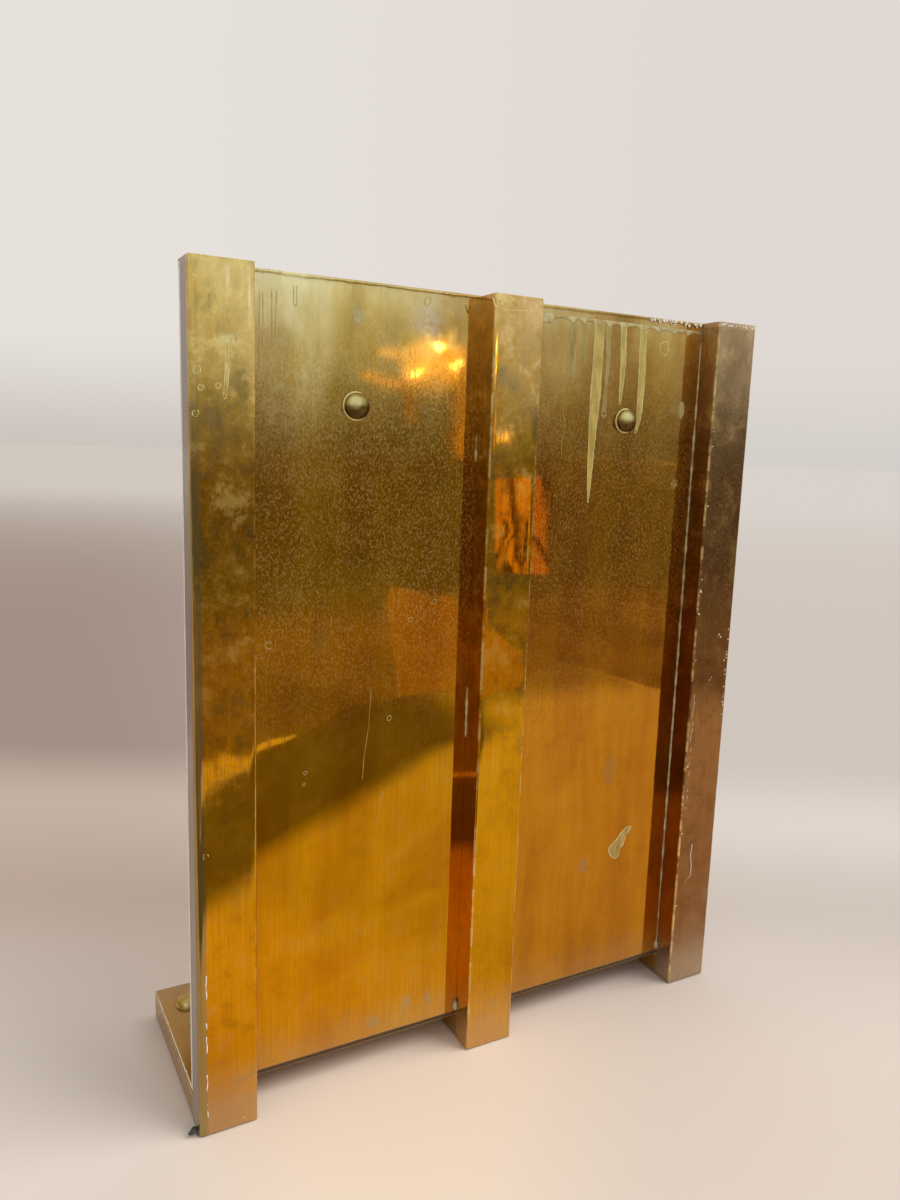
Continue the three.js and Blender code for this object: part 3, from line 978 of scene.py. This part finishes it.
WOOD = mottled(
    "batten_wood", (160, 5, 0.6, 0.8), (0.38, 0.62), ((0.36, 0.21, 0.10), (0.56, 0.38, 0.20)), 0.75,
    (0.0002, 0.4), (1, 1, 0.05),
)
HARDBOARD = mottled(
    "hardboard", (1400, 5, 0.7), (0.35, 0.65), ((0.035, 0.022, 0.013), (0.11, 0.07, 0.04)), 0.9,
    (0.0003, 0.7),
)
FELT = felt()
GLUE = mottled(
    "glue", (220, 4, 0.65), (0.42, 0.66), ((0.56, 0.51, 0.33), (0.30, 0.21, 0.09)), 0.45, (0.0003, 0.5),
    (1, 1, 0.4),
)
RUN_PALE = lacquer("lacquer_pale", (0.74, 0.68, 0.29), (0.60, 0.52, 0.17), 0.0)
RUN_BODY = lacquer("lacquer_body", (0.56, 0.43, 0.10), (0.41, 0.30, 0.05), 0.15)
RUN_THIN = lacquer("lacquer_thin", (0.56, 0.44, 0.17), (0.42, 0.28, 0.07), 0.35)
RUN_FILL = lacquer("lacquer_film", (0.50, 0.35, 0.09), (0.36, 0.24, 0.05), 0.6)
CHIP = lacquer("pale_chips", (0.94, 0.92, 0.86), (0.80, 0.76, 0.64), 0.0)


def cad_material(name):
    side = name.split("_")[0]
    if name.endswith(("batten", "dowel")):
        return WOOD
    if name.endswith("board"):
        return HARDBOARD
    if name.endswith("pad"):
        return FELT
    if "stud" in name or "nut" in name:
        return STUD_BRASS
    if name == "panel_top_strip":
        return SHEET_BRASS
    if name.startswith("shelf"):
        return SHELF_BRASS
    if "foot" in name:
        return FOOT_BRASS
    return POST_BRASS.get(side, REAR_BRASS)


for name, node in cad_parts.items():
    for slot in node.material_slots:
        slot.material = cad_material(name)


def stand_in(piece, node):
    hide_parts(node)


PANEL_DENTS = [((-0.141, 0.031), (0.008, 0.003), -0.25 * MM), ((0.075, 0.037), (0.006, 0.004), -0.25 * MM)]
panel_brass = sheet_piece("panel_front_brass", PANEL, -1, 11, SHEET_BRASS, PANEL_DENTS)
stand_in(panel_brass, "panel_front_sheet")
stand_in(sheet_piece("panel_rear_brass", PANEL_REAR, 1, 21, REAR_BRASS), "panel_rear_sheet")
stand_in(hem_piece(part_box("panel_top_strip"), SHEET_BRASS, 27), "panel_top_strip")
core = sheet_piece("panel_core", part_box("panel_board"), -1, 25, HARDBOARD, inset=0.6 * MM)
stand_in(core, "panel_board")
stand_in(tray_piece("shelf_top_brass", SHELF, SHELF_BRASS), "shelf_top_sheet")


def soft_fold(s):
    """The left rib's left fold: a broad soft bend, widest at the height of a hand."""
    return (2.4 + 1.8 * math.exp(-(((s - 0.2) / 0.2) ** 2))) * MM


sharp_fold = even_fold(1.5 * MM)
UP = Vector((0, 0, 1))
FORWARD = Vector((0, -1, 0))

for number, side in enumerate(RIBS):
    fold = soft_fold if side == "left" else sharp_fold
    post = post_piece(side, POST_BRASS[side], fold, sharp_fold, 40 + number)
    stand_in(post, f"{side}_post_cladding")
    cap = cap_piece(side, POST_BRASS[side], fold, sharp_fold)
    stand_in(cap, f"{side}_post_cap")
    foot = foot_piece(side, FOOT_BRASS, 50 + number)
    stand_in(foot, f"{side}_foot_cladding")
    stud = stud_piece(f"{side}_shelf_dome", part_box(f"{side}_shelf_stud"), UP, STUD_BRASS)
    stand_in(stud, f"{side}_shelf_stud")
    ring = ring_piece(f"{side}_shelf_ring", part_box(f"{side}_shelf_stud_ring"), UP, STUD_BRASS)
    stand_in(ring, f"{side}_shelf_stud_ring")

for side in ("left", "right"):
    stud = stud_piece(f"{side}_panel_dome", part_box(f"{side}_panel_stud"), FORWARD, STUD_BRASS)
    stand_in(stud, f"{side}_panel_stud")
    ring = ring_piece(f"{side}_panel_ring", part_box(f"{side}_panel_stud_ring"), FORWARD, RUN_PALE)
    stand_in(ring, f"{side}_panel_stud_ring")


# Runs of lacquer: (x, z, width) from the top down, in millimetres
PALE_RUNS = {
    "run_long": [
        (83.7, 562, 9), (84.1, 551, 8.4), (83.6, 508, 9.2), (82.6, 479, 6.4), (82.3, 450, 4.2),
        (82.1, 427, 1),
    ],
    "run_beside_stud": [
        (126.6, 562, 6), (127.8, 525, 6.4), (127.6, 500, 5.2), (127.2, 490, 3.6), (125, 482, 2),
    ],
    "run_middle": [(107.0, 562, 5.5), (108.6, 533, 4.8), (108, 515, 3.4), (107.5, 503, 1.6)],
}
THIN_RUNS = {
    "run_left": [(59.6, 562, 6), (60.7, 542, 4.6), (61.8, 518, 2)],
    "run_grey": [(69.4, 561, 4.4), (71.2, 545, 3.6), (71.4, 530, 2.6)],
    "run_faint": [(92.6, 561, 4.6), (93.9, 535, 3.2), (93.2, 510, 2.2), (92.8, 495, 4.4)],
    "run_wander": [(53.9, 506, 1.4), (54.3, 493, 1.8), (57.2, 485, 1.6), (54.6, 471, 1.4), (55.3, 460, 1.6)],
    "run_left_edge": [(-177.7, 556, 2), (-177.6, 539, 2.4), (-177.7, 512, 3)],
    "run_left_second": [(-169.3, 558, 3), (-169.6, 545, 2.6), (-169.7, 526, 2)],
    "run_left_third": [(-155.7, 562, 2.2), (-155.6, 551, 2)],
    "run_low": [(-98.6, 294, 1.6), (-100, 268, 1.0), (-103.2, 245, 0.9), (-104.2, 229, 1.4)],
    "run_scratch": [(-88, 217, 1.1), (-90.4, 205, 1.0), (-92.6, 193, 1.2)],
}
for name, path in PALE_RUNS.items():
    run_down(name, path, PANEL_FACE, RUN_BODY)
    run_rim(f"{name}_rim", path, PANEL_FACE, RUN_PALE, 0.7, 0.33)
for name, path in THIN_RUNS.items():
    run_rim(name, path, PANEL_FACE, RUN_THIN)
    x, _, width = path[0]
    if x > 0 and width > 2.5:
        run_down(f"{name}_film", path, PANEL_FACE, RUN_FILL, 0.05 * MM)
RIB_SKIN = RIB_FACE + 0.17 * MM


def right_band_edge(x):
    """Rounded arches between the runs, in mm."""
    feet = (40, 59.6, 69.4, 83.8, 92.6, 107, 126.6, 142, 158, 172, 190)
    for a, b in zip(feet, feet[1:]):
        if a <= x <= b:
            t = (x - a) / (b - a)
            return 557.0 + 4.4 * math.sqrt(max(0.0, 1 - (2 * t - 1) ** 2))
    return 557.0


film_band("top_film_right", 24, 186, 563.9, right_band_edge, PANEL_FACE, RUN_THIN)

patch("teardrop", (170.8, 501), (3.4, 7), PANEL_FACE, RUN_THIN, 56, 0.10)
BLISTER = [(124, 132), (127, 126), (131, 122), (135, 122), (137, 126), (136, 130), (140, 132), (142, 137),
           (143, 142), (148, 146), (147, 149), (142, 148), (137, 144), (133, 139), (129, 136)]


def rounded(points, rounds=3):
    """A closed outline with its corners cut again and again until they are round."""
    for _ in range(rounds):
        cut = []
        for (ax, az), (bx, bz) in zip(points, points[1:] + points[:1]):
            cut.append((ax * 0.75 + bx * 0.25, az * 0.75 + bz * 0.25))
            cut.append((ax * 0.25 + bx * 0.75, az * 0.25 + bz * 0.75))
        points = cut
    return points


def film_shape(name, outline, face, material, thick=0.07):
    """A thin dried film with an outline of (x, z) points in mm."""
    outline = np.array(outline, float)
    middle = outline.mean(axis=0)
    rings = []
    for share, height in ((1.0, -0.06), (1.0, thick * 0.5), (0.96, thick), (0.5, thick), (0.03, thick)):
        spots = middle + (outline - middle) * share
        rings.append([(x * MM, face - height * MM, z * MM) for x, z in spots])
    return loft(name, rings, material)


film_shape("blister", rounded(BLISTER, 2), PANEL_FACE, RUN_FILL)
ridge("blister_rim", rounded(BLISTER, 2), PANEL_FACE, RUN_PALE, 0.7, 0.20, endless=True)
DIAMOND = [(148.1, 554.6), (142.9, 546.9), (150.4, 540.2), (154.5, 549.3)]
ridge("diamond", rounded(DIAMOND, 2), PANEL_FACE, RUN_PALE, 0.6, 0.12, endless=True)

# Dried drops: (x, z) and radius, in millimetres
PANEL_DROPS = [(-173, 332, 2.2), (-69, 343, 1.5), (-50, 355, 1.5), (-84, 272, 1.6), (-147, 240, 1.2)]
PANEL_DROPS += [(-148, 232, 1.0)]
PANEL_DROPS += [(92.8, 494, 2.2), (-113, 548, 4.0), (-62, 562, 2.4)]
RIB_DROPS = [(-222.0, 505, 2.2), (-219.9, 495, 1.6), (-223.2, 480, 1.8), (-209.7, 496.6, 1.5)]
RIB_DROPS += [(-220.5, 201, 1.8)]
for number, (x, z, radius) in enumerate(PANEL_DROPS):
    ring_mark(f"panel_drop_{number}", (x, z), radius, PANEL_FACE, RUN_THIN, 90 + number)
for number, (x, z, radius) in enumerate(RIB_DROPS):
    ring_mark(f"rib_drop_{number}", (x, z), radius, RIB_SKIN, RUN_PALE, 110 + number)
    half = (radius * 0.5, radius * 0.5)
    patch(f"rib_drop_heart_{number}", (x, z), half, RIB_SKIN, RUN_PALE, number, 0.1, 0.05 * MM, 0.10 * MM)
RIB_RUNS = [
    [(-204.4, 519, 2.2), (-204.2, 508, 2.4), (-204.9, 499, 2.2), (-205.8, 490, 1.4)],
    [(-190.9, 567, 2.2), (-190.7, 550, 2.4), (-189.9, 533, 1.6)],
    [(-203.4, 566, 2.8), (-203.6, 553, 2.4)],
]
for number, path in enumerate(RIB_RUNS):
    run_rim(f"rib_run_{number}", path, RIB_SKIN, RUN_PALE, 0.5, 0.11)
TOP_LOOP = [(-22, 566), (-20, 561), (-12, 559.5), (0, 560), (12, 560.5), (17, 563), (18, 567)]
ridge("middle_rib_loop", TOP_LOOP, RIB_SKIN, RUN_PALE, 1.3, 0.12)

# Glue along the joints
right_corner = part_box("right_post_cladding")[0].x
middle_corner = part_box("middle_post_cladding")[0].x
CORNER_BEADS = [
    ("bead_right_corner", right_corner - 0.2 * MM, 0.3, 0.565, 0.026, (0.75, 0.85), 61),
    ("bead_middle_low", middle_corner - 0.3 * MM, 0.4, 0.289, 0.250, (0.8, 0.8), 62),
    ("bead_middle_high", middle_corner - 0.3 * MM, 0.4, 0.474, 0.455, (0.6, 0.6), 62),
]
for name, x, proud, top, bottom, (start_radius, end_radius), seed in CORNER_BEADS:
    y = PANEL_FACE - proud * MM
    bead(name, line((x, y, top), (x, y, bottom)), (start_radius * MM, end_radius * MM), GLUE, seed)
for name, x in (("glue_foot_middle", middle_corner), ("glue_foot_right", right_corner)):
    y = PANEL_FACE - 0.8 * MM
    points = line((x - 1.2 * MM, y, 0.034), (x - 1.0 * MM, y, 0.0245), 1 * MM)
    bead(name, points, (1.2 * MM, 2.0 * MM), GLUE, 63)

FILLER_FRONT = -55.1  # mm, where the filler along the panel's outer edges begins


def ragged_edge(name, x, outward, seed):
    """Dried glue and filler squeezed out along the outer edge of the panel, ragged and pale."""
    rng = np.random.default_rng(seed)
    phase = rng.uniform(0, 6.28, 5)
    rings = []
    for z in spaced(24.5 * MM, 0.5685, 1.6 * MM):
        rag = sum(math.sin(z * f + p) for f, p in zip((90, 210, 470, 900, 1500), phase)) / 5
        front = FILLER_FRONT * MM
        back = front + (3.8 + 0.5 * rag + 0.3 * rng.uniform(-1, 1)) * MM
        proud = (0.30 + 0.16 * rag) * MM
        outer = x - outward * 0.02 * MM
        inner = x - outward * 0.55 * MM
        face = outer - outward * (0.2 * MM - min(proud, 0.2 * MM))
        section = [(inner, front), (face, front + 0.1 * MM), (face, back - 0.2 * MM), (inner, back)]
        rings.append([(x_at, y, z) for x_at, y in section])
    return loft(name, rings, CHIP)


ragged_edge("filler_left", PANEL[0].x, -1, 71)
ragged_edge("filler_right", PANEL[1].x, 1, 72)

# Pale chips: (x, y, z) in mm, on the panel's top edge and on the ribs' faces
edge_rng = np.random.default_rng(81)
chips = [(x, -55.95, 569.2 - edge_rng.uniform(0, 2.2)) for x in edge_rng.uniform(131, 185, 26)]
flakes("chips_panel_top", chips, 2.0, CHIP, 82)
chips = [(x, 569.0 - edge_rng.uniform(0, 2.0)) for x in edge_rng.uniform(189, 225, 30)]
chips += [(-15, 563), (-17, 566), (-6, 566.5), (4, 567), (13, 564), (17, 567)]
chips += [(224.8 - edge_rng.uniform(0, 0.9), z) for z in edge_rng.uniform(240, 340, 16)]
chips += [(188.9 + edge_rng.uniform(0, 0.8), z) for z in edge_rng.uniform(70, 520, 12)]
chips += [(214, 316), (216, 314), (222, 293), (207, 277), (209, 279)]
chips += [(-203, 5), (-200, 6), (-197, 5.5)]
flakes("chips_ribs", [(x, RIB_FACE / MM + 0.02, z) for x, z in chips], 1.2, CHIP, 83)

# A broken pale line low on the left rib and pale blobs on the shelf's left edge: painted glints along the
# folds, made as pale slivers and blobs
for number, (bottom, top) in enumerate(((14, 24), (34, 46), (62, 74), (80, 84), (101, 118))):
    path = [(-221.4 + 0.25 * math.sin(z * 0.5), z) for z in spaced(bottom, top, 1.5)]
    ridge(f"rib_painted_glint_{number}", path, RIB_SKIN, CHIP, 0.7, 0.12)
edge_x, edge_z = SHELF[0].x + 0.75 * MM, SHELF[1].z - 0.75 * MM
for name, start, end in (("blob_back", 0.030, 0.021), ("blob_front", -0.022, -0.036)):
    points = line((edge_x, start, edge_z), (edge_x, end, edge_z), 1 * MM)
    bead(name, points, (0.55 * MM, 0.75 * MM), CHIP, 65)

# Scratches on the right rib
for number in range(14):
    x, z = 190.8 + 0.8 * math.sin(number * 2.3), 262 - 7.6 * number
    length = 3.5 + 2 * math.sin(number * 1.7)
    path = [(x - 1.2, z - length), (x, z), (x + 0.9, z + length)]
    ridge(f"scratch_{number}", path, RIB_SKIN, CHIP, 0.35, 0.1)
ZIGZAG = [(202.2, 130), (201.4, 120), (203.2, 108), (203.0, 104), (203.6, 101), (197, 95)]
ridge("zigzag", ZIGZAG, RIB_SKIN, CHIP, 0.6, 0.12)


def felt_scrap(name, centre, seed):
    """A crumpled tuft of felt that has worked out from under the left rib."""
    rng = np.random.default_rng(seed)
    bm = bmesh.new()
    bmesh.ops.create_icosphere(bm, subdivisions=4, radius=1)
    waves = [(Vector(rng.uniform(-4, 4, 3)), rng.uniform(0, 6.28), rng.uniform(0.06, 0.2)) for _ in range(9)]
    for v in bm.verts:
        lump = 1 + sum(w * math.sin(v.co.dot(k) + p) for k, p, w in waves)
        v.co = Vector((v.co.x * 3.6, v.co.y * 3.0, v.co.z * 2.6)) * lump * MM
    lowest = min(v.co.z for v in bm.verts)
    for v in bm.verts:
        v.co += Vector(centre) - Vector((0, 0, lowest))
    return new_piece(name, *mesh_parts(bm), FELT)


felt_scrap("felt_scrap", (-0.2282, -0.0690, 0.0003), 95)


# ---------------------------------------------------------------- stage


VIEW_WAY = (0.4837, 0.8752, 0)  # the camera's heading over the floor
VIEW_SIDE = (0.8752, -0.4837, 0)
CAMERA_DEPTH = 0.719  # how far the camera stands behind the origin along its heading
FLOOR_REACH = 60
ROOM_END = -59
ROOM_SIDE = 40


def backdrop_low(g, to_right):
    return g.mix(to_right, (0.60, 0.555, 0.505), (0.66, 0.62, 0.585))


def floor_material():
    """Pale paper painted with light and shade: a painted warm glow near the camera, grey with the rack's and
    the backdrop's painted shade behind the rack, plain further off.
    """
    material, g, place = new_material("floor")
    depth = g.dot(place, VIEW_WAY) + CAMERA_DEPTH
    side = g.dot(place, VIEW_SIDE)
    angle = g.math("DIVIDE", side, g.larger(depth, 0.4)) * g.step(depth, 0.0, 0.4)
    to_right = g.step(angle, -0.45, 0.35)
    # Painted shade: the rack's shadow and the backdrop's shading, darker to the left.
    shade = g.mix(to_right, (0.340, 0.262, 0.225), (0.605, 0.550, 0.505))
    rise = g.mix(to_right, (0.53, 0.435, 0.37), (0.71, 0.66, 0.615))
    near_shade = g.mix(to_right, (0.51, 0.405, 0.345), (0.62, 0.55, 0.50))
    # A painted warm glow near the camera, where the brass throws light on the paper.
    front = g.mix(g.step(angle, -0.42, -0.12), (0.75, 0.665, 0.595), (0.95, 0.795, 0.66))
    front = g.mix(g.step(angle, 0.02, 0.30), front, (0.80, 0.705, 0.63))
    colour = g.mix(g.step(depth, 0.62, 0.90), front, near_shade)
    colour = g.mix(g.step(depth, 0.88, 1.12), colour, rise)
    colour = g.mix(g.step(depth, 1.10, 1.36), colour, shade)
    colour = g.mix(g.step(depth, 2.2, 9.0), colour, backdrop_low(g, to_right))
    away = g.distance(place, (0, 0, 0))
    straight = g.math("DIVIDE", depth, g.larger(g.length(side, depth), 0.01))
    out_of_view = g.larger(g.step(depth, 1.2, 0.2), g.step(straight, 0.85, 0.5))
    colour = g.mix(g.step(away, 1.0, 3.0) * out_of_view, colour, (0.63, 0.5875, 0.545))
    fibre = g.noise(place, 600, 3)
    colour = g.mix(g.step(fibre, 0.45, 0.7) * 0.03, colour, (0.45, 0.40, 0.36))
    finish_material(g, Base_Color=colour, Roughness=0.9, Specular_IOR_Level=0.1)
    return material


def glow_material(name, tone, fade=None):
    """A light-giving surface for the reflections.

    tone is a colour or a function that makes one; fade(g, place) is how much of the surface shows.
    """
    material, g, place = new_material(name)
    glow = g.add("Emission", {"Color": tone(g, place) if callable(tone) else tone})
    share = fade(g, place) if fade else 1.0
    clear = g.add("BsdfTransparent")
    g.node("OutputMaterial", {"Surface": g.add("MixShader", {0: share, 1: clear, 2: glow})})
    return material


def stage_mesh(name, corners, faces, material):
    mesh = bpy.data.meshes.new(name)
    mesh.from_pydata(corners, [], faces)
    mesh.materials.append(material)
    thing = bpy.data.objects.new(name, mesh)
    bpy.context.scene.collection.objects.link(thing)
    return thing


def flat(name, corners, material):
    return stage_mesh(name, corners, [tuple(range(len(corners)))], material)


def only_in_reflections(thing):
    thing.visible_camera = False
    thing.visible_diffuse = False
    thing.visible_shadow = False
    thing.visible_transmission = False


def card(name, outline, height, tone, fade=None):
    """A glowing flat shape at a height over the floor, there only for the brass to mirror."""
    only_in_reflections(flat(name, [(x, y, height) for x, y in outline], glow_material(name, tone, fade)))


floor_corners = [(-FLOOR_REACH, -FLOOR_REACH, 0), (FLOOR_REACH, -FLOOR_REACH, 0)]
floor_corners += [(FLOOR_REACH, FLOOR_REACH, 0), (-FLOOR_REACH, FLOOR_REACH, 0)]
flat("floor", floor_corners, floor_material())

# The room in front of the rack, seen only in the brass: where the pale paper ends, and what lies beyond
PAPER_EDGE = [
    (-0.40, -0.52), (-0.22, -0.60), (-0.081, -0.683), (0.009, -0.757), (0.038, -0.777), (0.149, -0.854),
    (0.246, -0.939), (0.322, -0.957), (0.478, -0.968), (0.605, -0.979), (0.715, -1.053), (0.832, -1.107),
    (0.881, -0.847), (1.10, -0.60), (1.9, -0.20),
]
ROOM = [(-ROOM_SIDE, 3), (-1.4, -0.30), *PAPER_EDGE]
ROOM += [(ROOM_SIDE, 3), (ROOM_SIDE, ROOM_END), (-ROOM_SIDE, ROOM_END)]
RUG = [(0.356, -0.964), (0.60, -0.98), (0.72, -1.06), (1.042, -1.975), (0.894, -2.169)]
SHADE = [(-1.4, -0.20), (-1.4, -0.30), *PAPER_EDGE[:12], (0.95, -0.20)]


def room_tone(g, place):
    """Lit boards near the paper, dark further off."""
    near = g.step(g.split(place)[1], -2.3, -1.5)
    patchy = g.noise(g.scaled(place, (1, 0.5, 0)), 3.5, 3)
    lit = g.mix(g.step(patchy, 0.35, 0.65), (0.30, 0.235, 0.19), (0.41, 0.32, 0.24))
    return g.mix(near, (0.225, 0.205, 0.185), lit)


def shade_fade(g, place):
    """The soft shadow that whoever stands behind the camera throws on the paper, up to the paper's edge."""
    x, y, _ = g.split(place)
    wave = (g.noise(g.scaled(place, (1, 0, 0)), 6, 1) - 0.5) * 0.05
    edge = y + wave + (0.475 + x * 0.66)
    soft = g.step(edge, 0.035, -0.035) * g.step(x, 0.56, 0.36) * 0.97
    beyond = g.step(y, -0.80, -0.99) * g.step(x, 0.30, 0.45) * 0.62
    return g.larger(soft, beyond)


card("room_floor", ROOM, 0.001, room_tone)
card("rug", RUG, 0.0015, (0.53, 0.345, 0.20))
card("standing_shade", SHADE, 0.002, (0.205, 0.172, 0.135), shade_fade)


def paper_edge_strip():
    """The lit, curled-up edge of the paper, widest near its left end, as a row of quads."""
    widths = [0.016, 0.020, 0.090, 0.055, 0.018, 0.005]
    near, far = [], []
    for number in range(len(widths) - 1):
        start, end = Vector(PAPER_EDGE[number]), Vector(PAPER_EDGE[number + 1])
        for t in (0.0, 0.25, 0.5, 0.75):
            spot = start.lerp(end, t)
            wave = 1 + 0.3 * math.sin(number * 9 + t * 8)
            width = (widths[number] + (widths[number + 1] - widths[number]) * t) * wave
            near.append((spot.x, spot.y + 0.004, 0.003))
            far.append((spot.x - width * 0.4, spot.y - width, 0.003))
    count = len(near)
    faces = [(i, i + 1, count + i + 1, count + i) for i in range(count - 1)]
    glow = glow_material("paper_edge", (0.98, 0.82, 0.62))
    only_in_reflections(stage_mesh("paper_edge", near + far, faces, glow))


paper_edge_strip()

# A lit grille further down the room
GRILLE_LEFT = Vector((1.3125, -2.208))
GRILLE_RIGHT = Vector((1.479, -2.103))
GRILLE_LOW, GRILLE_HIGH = 0.04, 0.375


def grille_tone(g, place):
    """Orange light behind slanting bars, with scrollwork in its lower left."""
    along = (GRILLE_RIGHT - GRILLE_LEFT) / (GRILLE_RIGHT - GRILLE_LEFT).length_squared
    x, y, z = g.split(place)
    across = (x - GRILLE_LEFT.x) * along.x + (y - GRILLE_LEFT.y) * along.y
    up = (z - GRILLE_LOW) * (1 / (GRILLE_HIGH - GRILLE_LOW))
    curls = g.add("TexWave", {"Vector": place, "Scale": 9.0, "Distortion": 14.0, "Detail": 1.0}, "Fac")
    plain = g.larger(g.step(up, 0.52, 0.60), g.step(across, 0.48, 0.53))
    lit = g.larger(g.step(curls, 0.30, 0.45), plain)
    bar = g.math("ABSOLUTE", across + ((up - 1.0) * 0.38 - 0.22))
    second = g.math("ABSOLUTE", across + ((up - 0.4) * 0.9 - 0.74))
    lit = lit * g.step(bar, 0.045, 0.065) * g.larger(g.step(second, 0.05, 0.07), g.step(up, 0.38, 0.46))
    lit = lit * g.step(across + up * 0.25, 1.05, 1.02)
    return g.mix(lit, (0.14, 0.07, 0.02), (0.85, 0.42, 0.10))


grille_corners = [(*GRILLE_LEFT, GRILLE_LOW), (*GRILLE_RIGHT, GRILLE_LOW)]
grille_corners += [(*GRILLE_RIGHT, GRILLE_HIGH), (*GRILLE_LEFT, GRILLE_HIGH)]
only_in_reflections(flat("grille", grille_corners, glow_material("grille", grille_tone)))


# ---------------------------------------------------------------- light

# Bright things in the room, in degrees: heading from -Y towards +X, height, half sizes and softness; then
# colour and strength
LAMPS = [
    (27.8, 4.95, 1.0, 0.4, 2.0, (1.0, 0.72, 0.30), 2.1),
    (26.0, 5.60, 1.7, 0.05, 0.7, (1.0, 0.84, 0.60), 1.8),
    (24.9, 3.80, 1.6, 0.05, 0.7, (1.0, 0.74, 0.42), 1.3),
    (26.3, 2.60, 0.20, 0.9, 0.8, (0.9, 0.66, 0.30), 0.55),
    (29.6, 2.60, 0.35, 2.4, 1.3, (1.0, 0.62, 0.16), 0.75),
    (30.0, 1.80, 0.15, 0.3, 0.8, (1.0, 0.60, 0.16), 1.2),
    (31.9, 0.90, 0.01, 0.02, 0.55, (1.0, 0.70, 0.16), 4.0),
    (31.6, -2.20, 0.10, 0.15, 0.5, (1.0, 0.80, 0.40), 1.2),
    (27.68, 6.05, 0.10, 0.06, 0.36, (1.0, 0.92, 0.68), 30.0),
    (26.60, 4.45, 0.02, 0.02, 0.30, (1.0, 0.84, 0.46), 20.0),
    (28.52, 4.70, 0.02, 0.06, 0.24, (1.0, 0.86, 0.50), 20.0),
    (28.90, 4.97, 0.02, 0.06, 0.24, (1.0, 0.86, 0.50), 22.0),
]


def make_world():
    """What surrounds the stage: a backdrop for the camera, even light, and a dim room for the reflections."""
    world = bpy.data.worlds.new("studio")
    bpy.context.scene.world = world
    world.use_nodes = True
    g = Graph(world.node_tree)
    way = g.add("TexCoord", output="Generated")
    x, y, z = g.split(way)
    heading = g.math("ARCTAN2", x, y * -1) * (180 / math.pi)
    height = g.math("ARCSINE", z) * (180 / math.pi)

    # The backdrop the camera sees has painted shading: darker low down than higher up, and not the same from
    # left to right.
    angle = g.math("DIVIDE", g.dot(way, VIEW_SIDE), g.larger(g.dot(way, VIEW_WAY), 0.05))
    to_right = g.step(angle, -0.45, 0.35)
    high = g.mix(to_right, (0.80, 0.755, 0.72), (0.745, 0.69, 0.65))
    seen = g.mix(g.step(height, -1, 6.5), backdrop_low(g, to_right), high)
    ambient = g.mix(g.step(height, -5, 35), (0.45, 0.43, 0.41), (0.66, 0.645, 0.63))

    room = g.mix(g.step(height, -11, -7), (0.34, 0.27, 0.22), (0.225, 0.205, 0.19))
    room = g.mix(g.step(height, -5, 1), room, (0.30, 0.33, 0.38))
    room = g.mix(g.step(height, 0, 6), room, (0.62, 0.78, 1.0))
    room = g.mix(g.step(height, 5, 11), room, (0.95, 1.25, 1.7))
    patches = g.noise(g.scaled(way, (1, 1, 0.7)), 6.0, 3, 0.5)
    room = g.mix(g.step(patches, 0.42, 0.62), g.mix(1.0, room, (0.78, 0.78, 0.76), "MULTIPLY"), room)
    posts = g.noise(g.scaled(way, (1, 1, 0.05)), 22.0, 2, 0.5)
    room = g.mix(g.step(posts, 0.52, 0.62) * 0.35, room, (0.10, 0.085, 0.07))
    for at, up, half_wide, half_tall, soft, colour, strength in LAMPS:
        across = g.larger(g.math("ABSOLUTE", heading - at) - half_wide, 0)
        above = g.larger(g.math("ABSOLUTE", height - up) - half_tall, 0)
        near = g.math("POWER", g.step(g.length(across, above), soft, 0), 2.2)
        room = g.mix(near, room, tuple(c * strength for c in colour))

    behind = g.mix(g.step(height, -12, 30), (0.42, 0.36, 0.32), (0.80, 0.76, 0.73))
    mirrored = g.mix(g.step(y, -0.05, -0.35), behind, room)

    colour = g.mix(g.add("LightPath", output="Is Camera Ray"), ambient, seen)
    colour = g.mix(g.add("LightPath", output="Is Glossy Ray"), colour, mirrored)
    g.node("OutputWorld", {"Surface": g.add("Background", {"Color": colour, "Strength": 1.0})})


make_world()


def soft_sun(name, come_from, strength, spread, colour):
    """An even, soft light from one side, spread degrees wide."""
    data = bpy.data.lights.new(name, "SUN")
    data.energy = strength
    data.angle = math.radians(spread)
    data.color = colour
    light = bpy.data.objects.new(name, data)
    light.rotation_mode = "QUATERNION"
    light.rotation_quaternion = Vector(come_from).to_track_quat("Z", "Y")
    light.visible_glossy = False
    bpy.context.scene.collection.objects.link(light)


soft_sun("key", (1.5, -1.1, 2.2), 1.7, 40, (1.0, 0.97, 0.94))
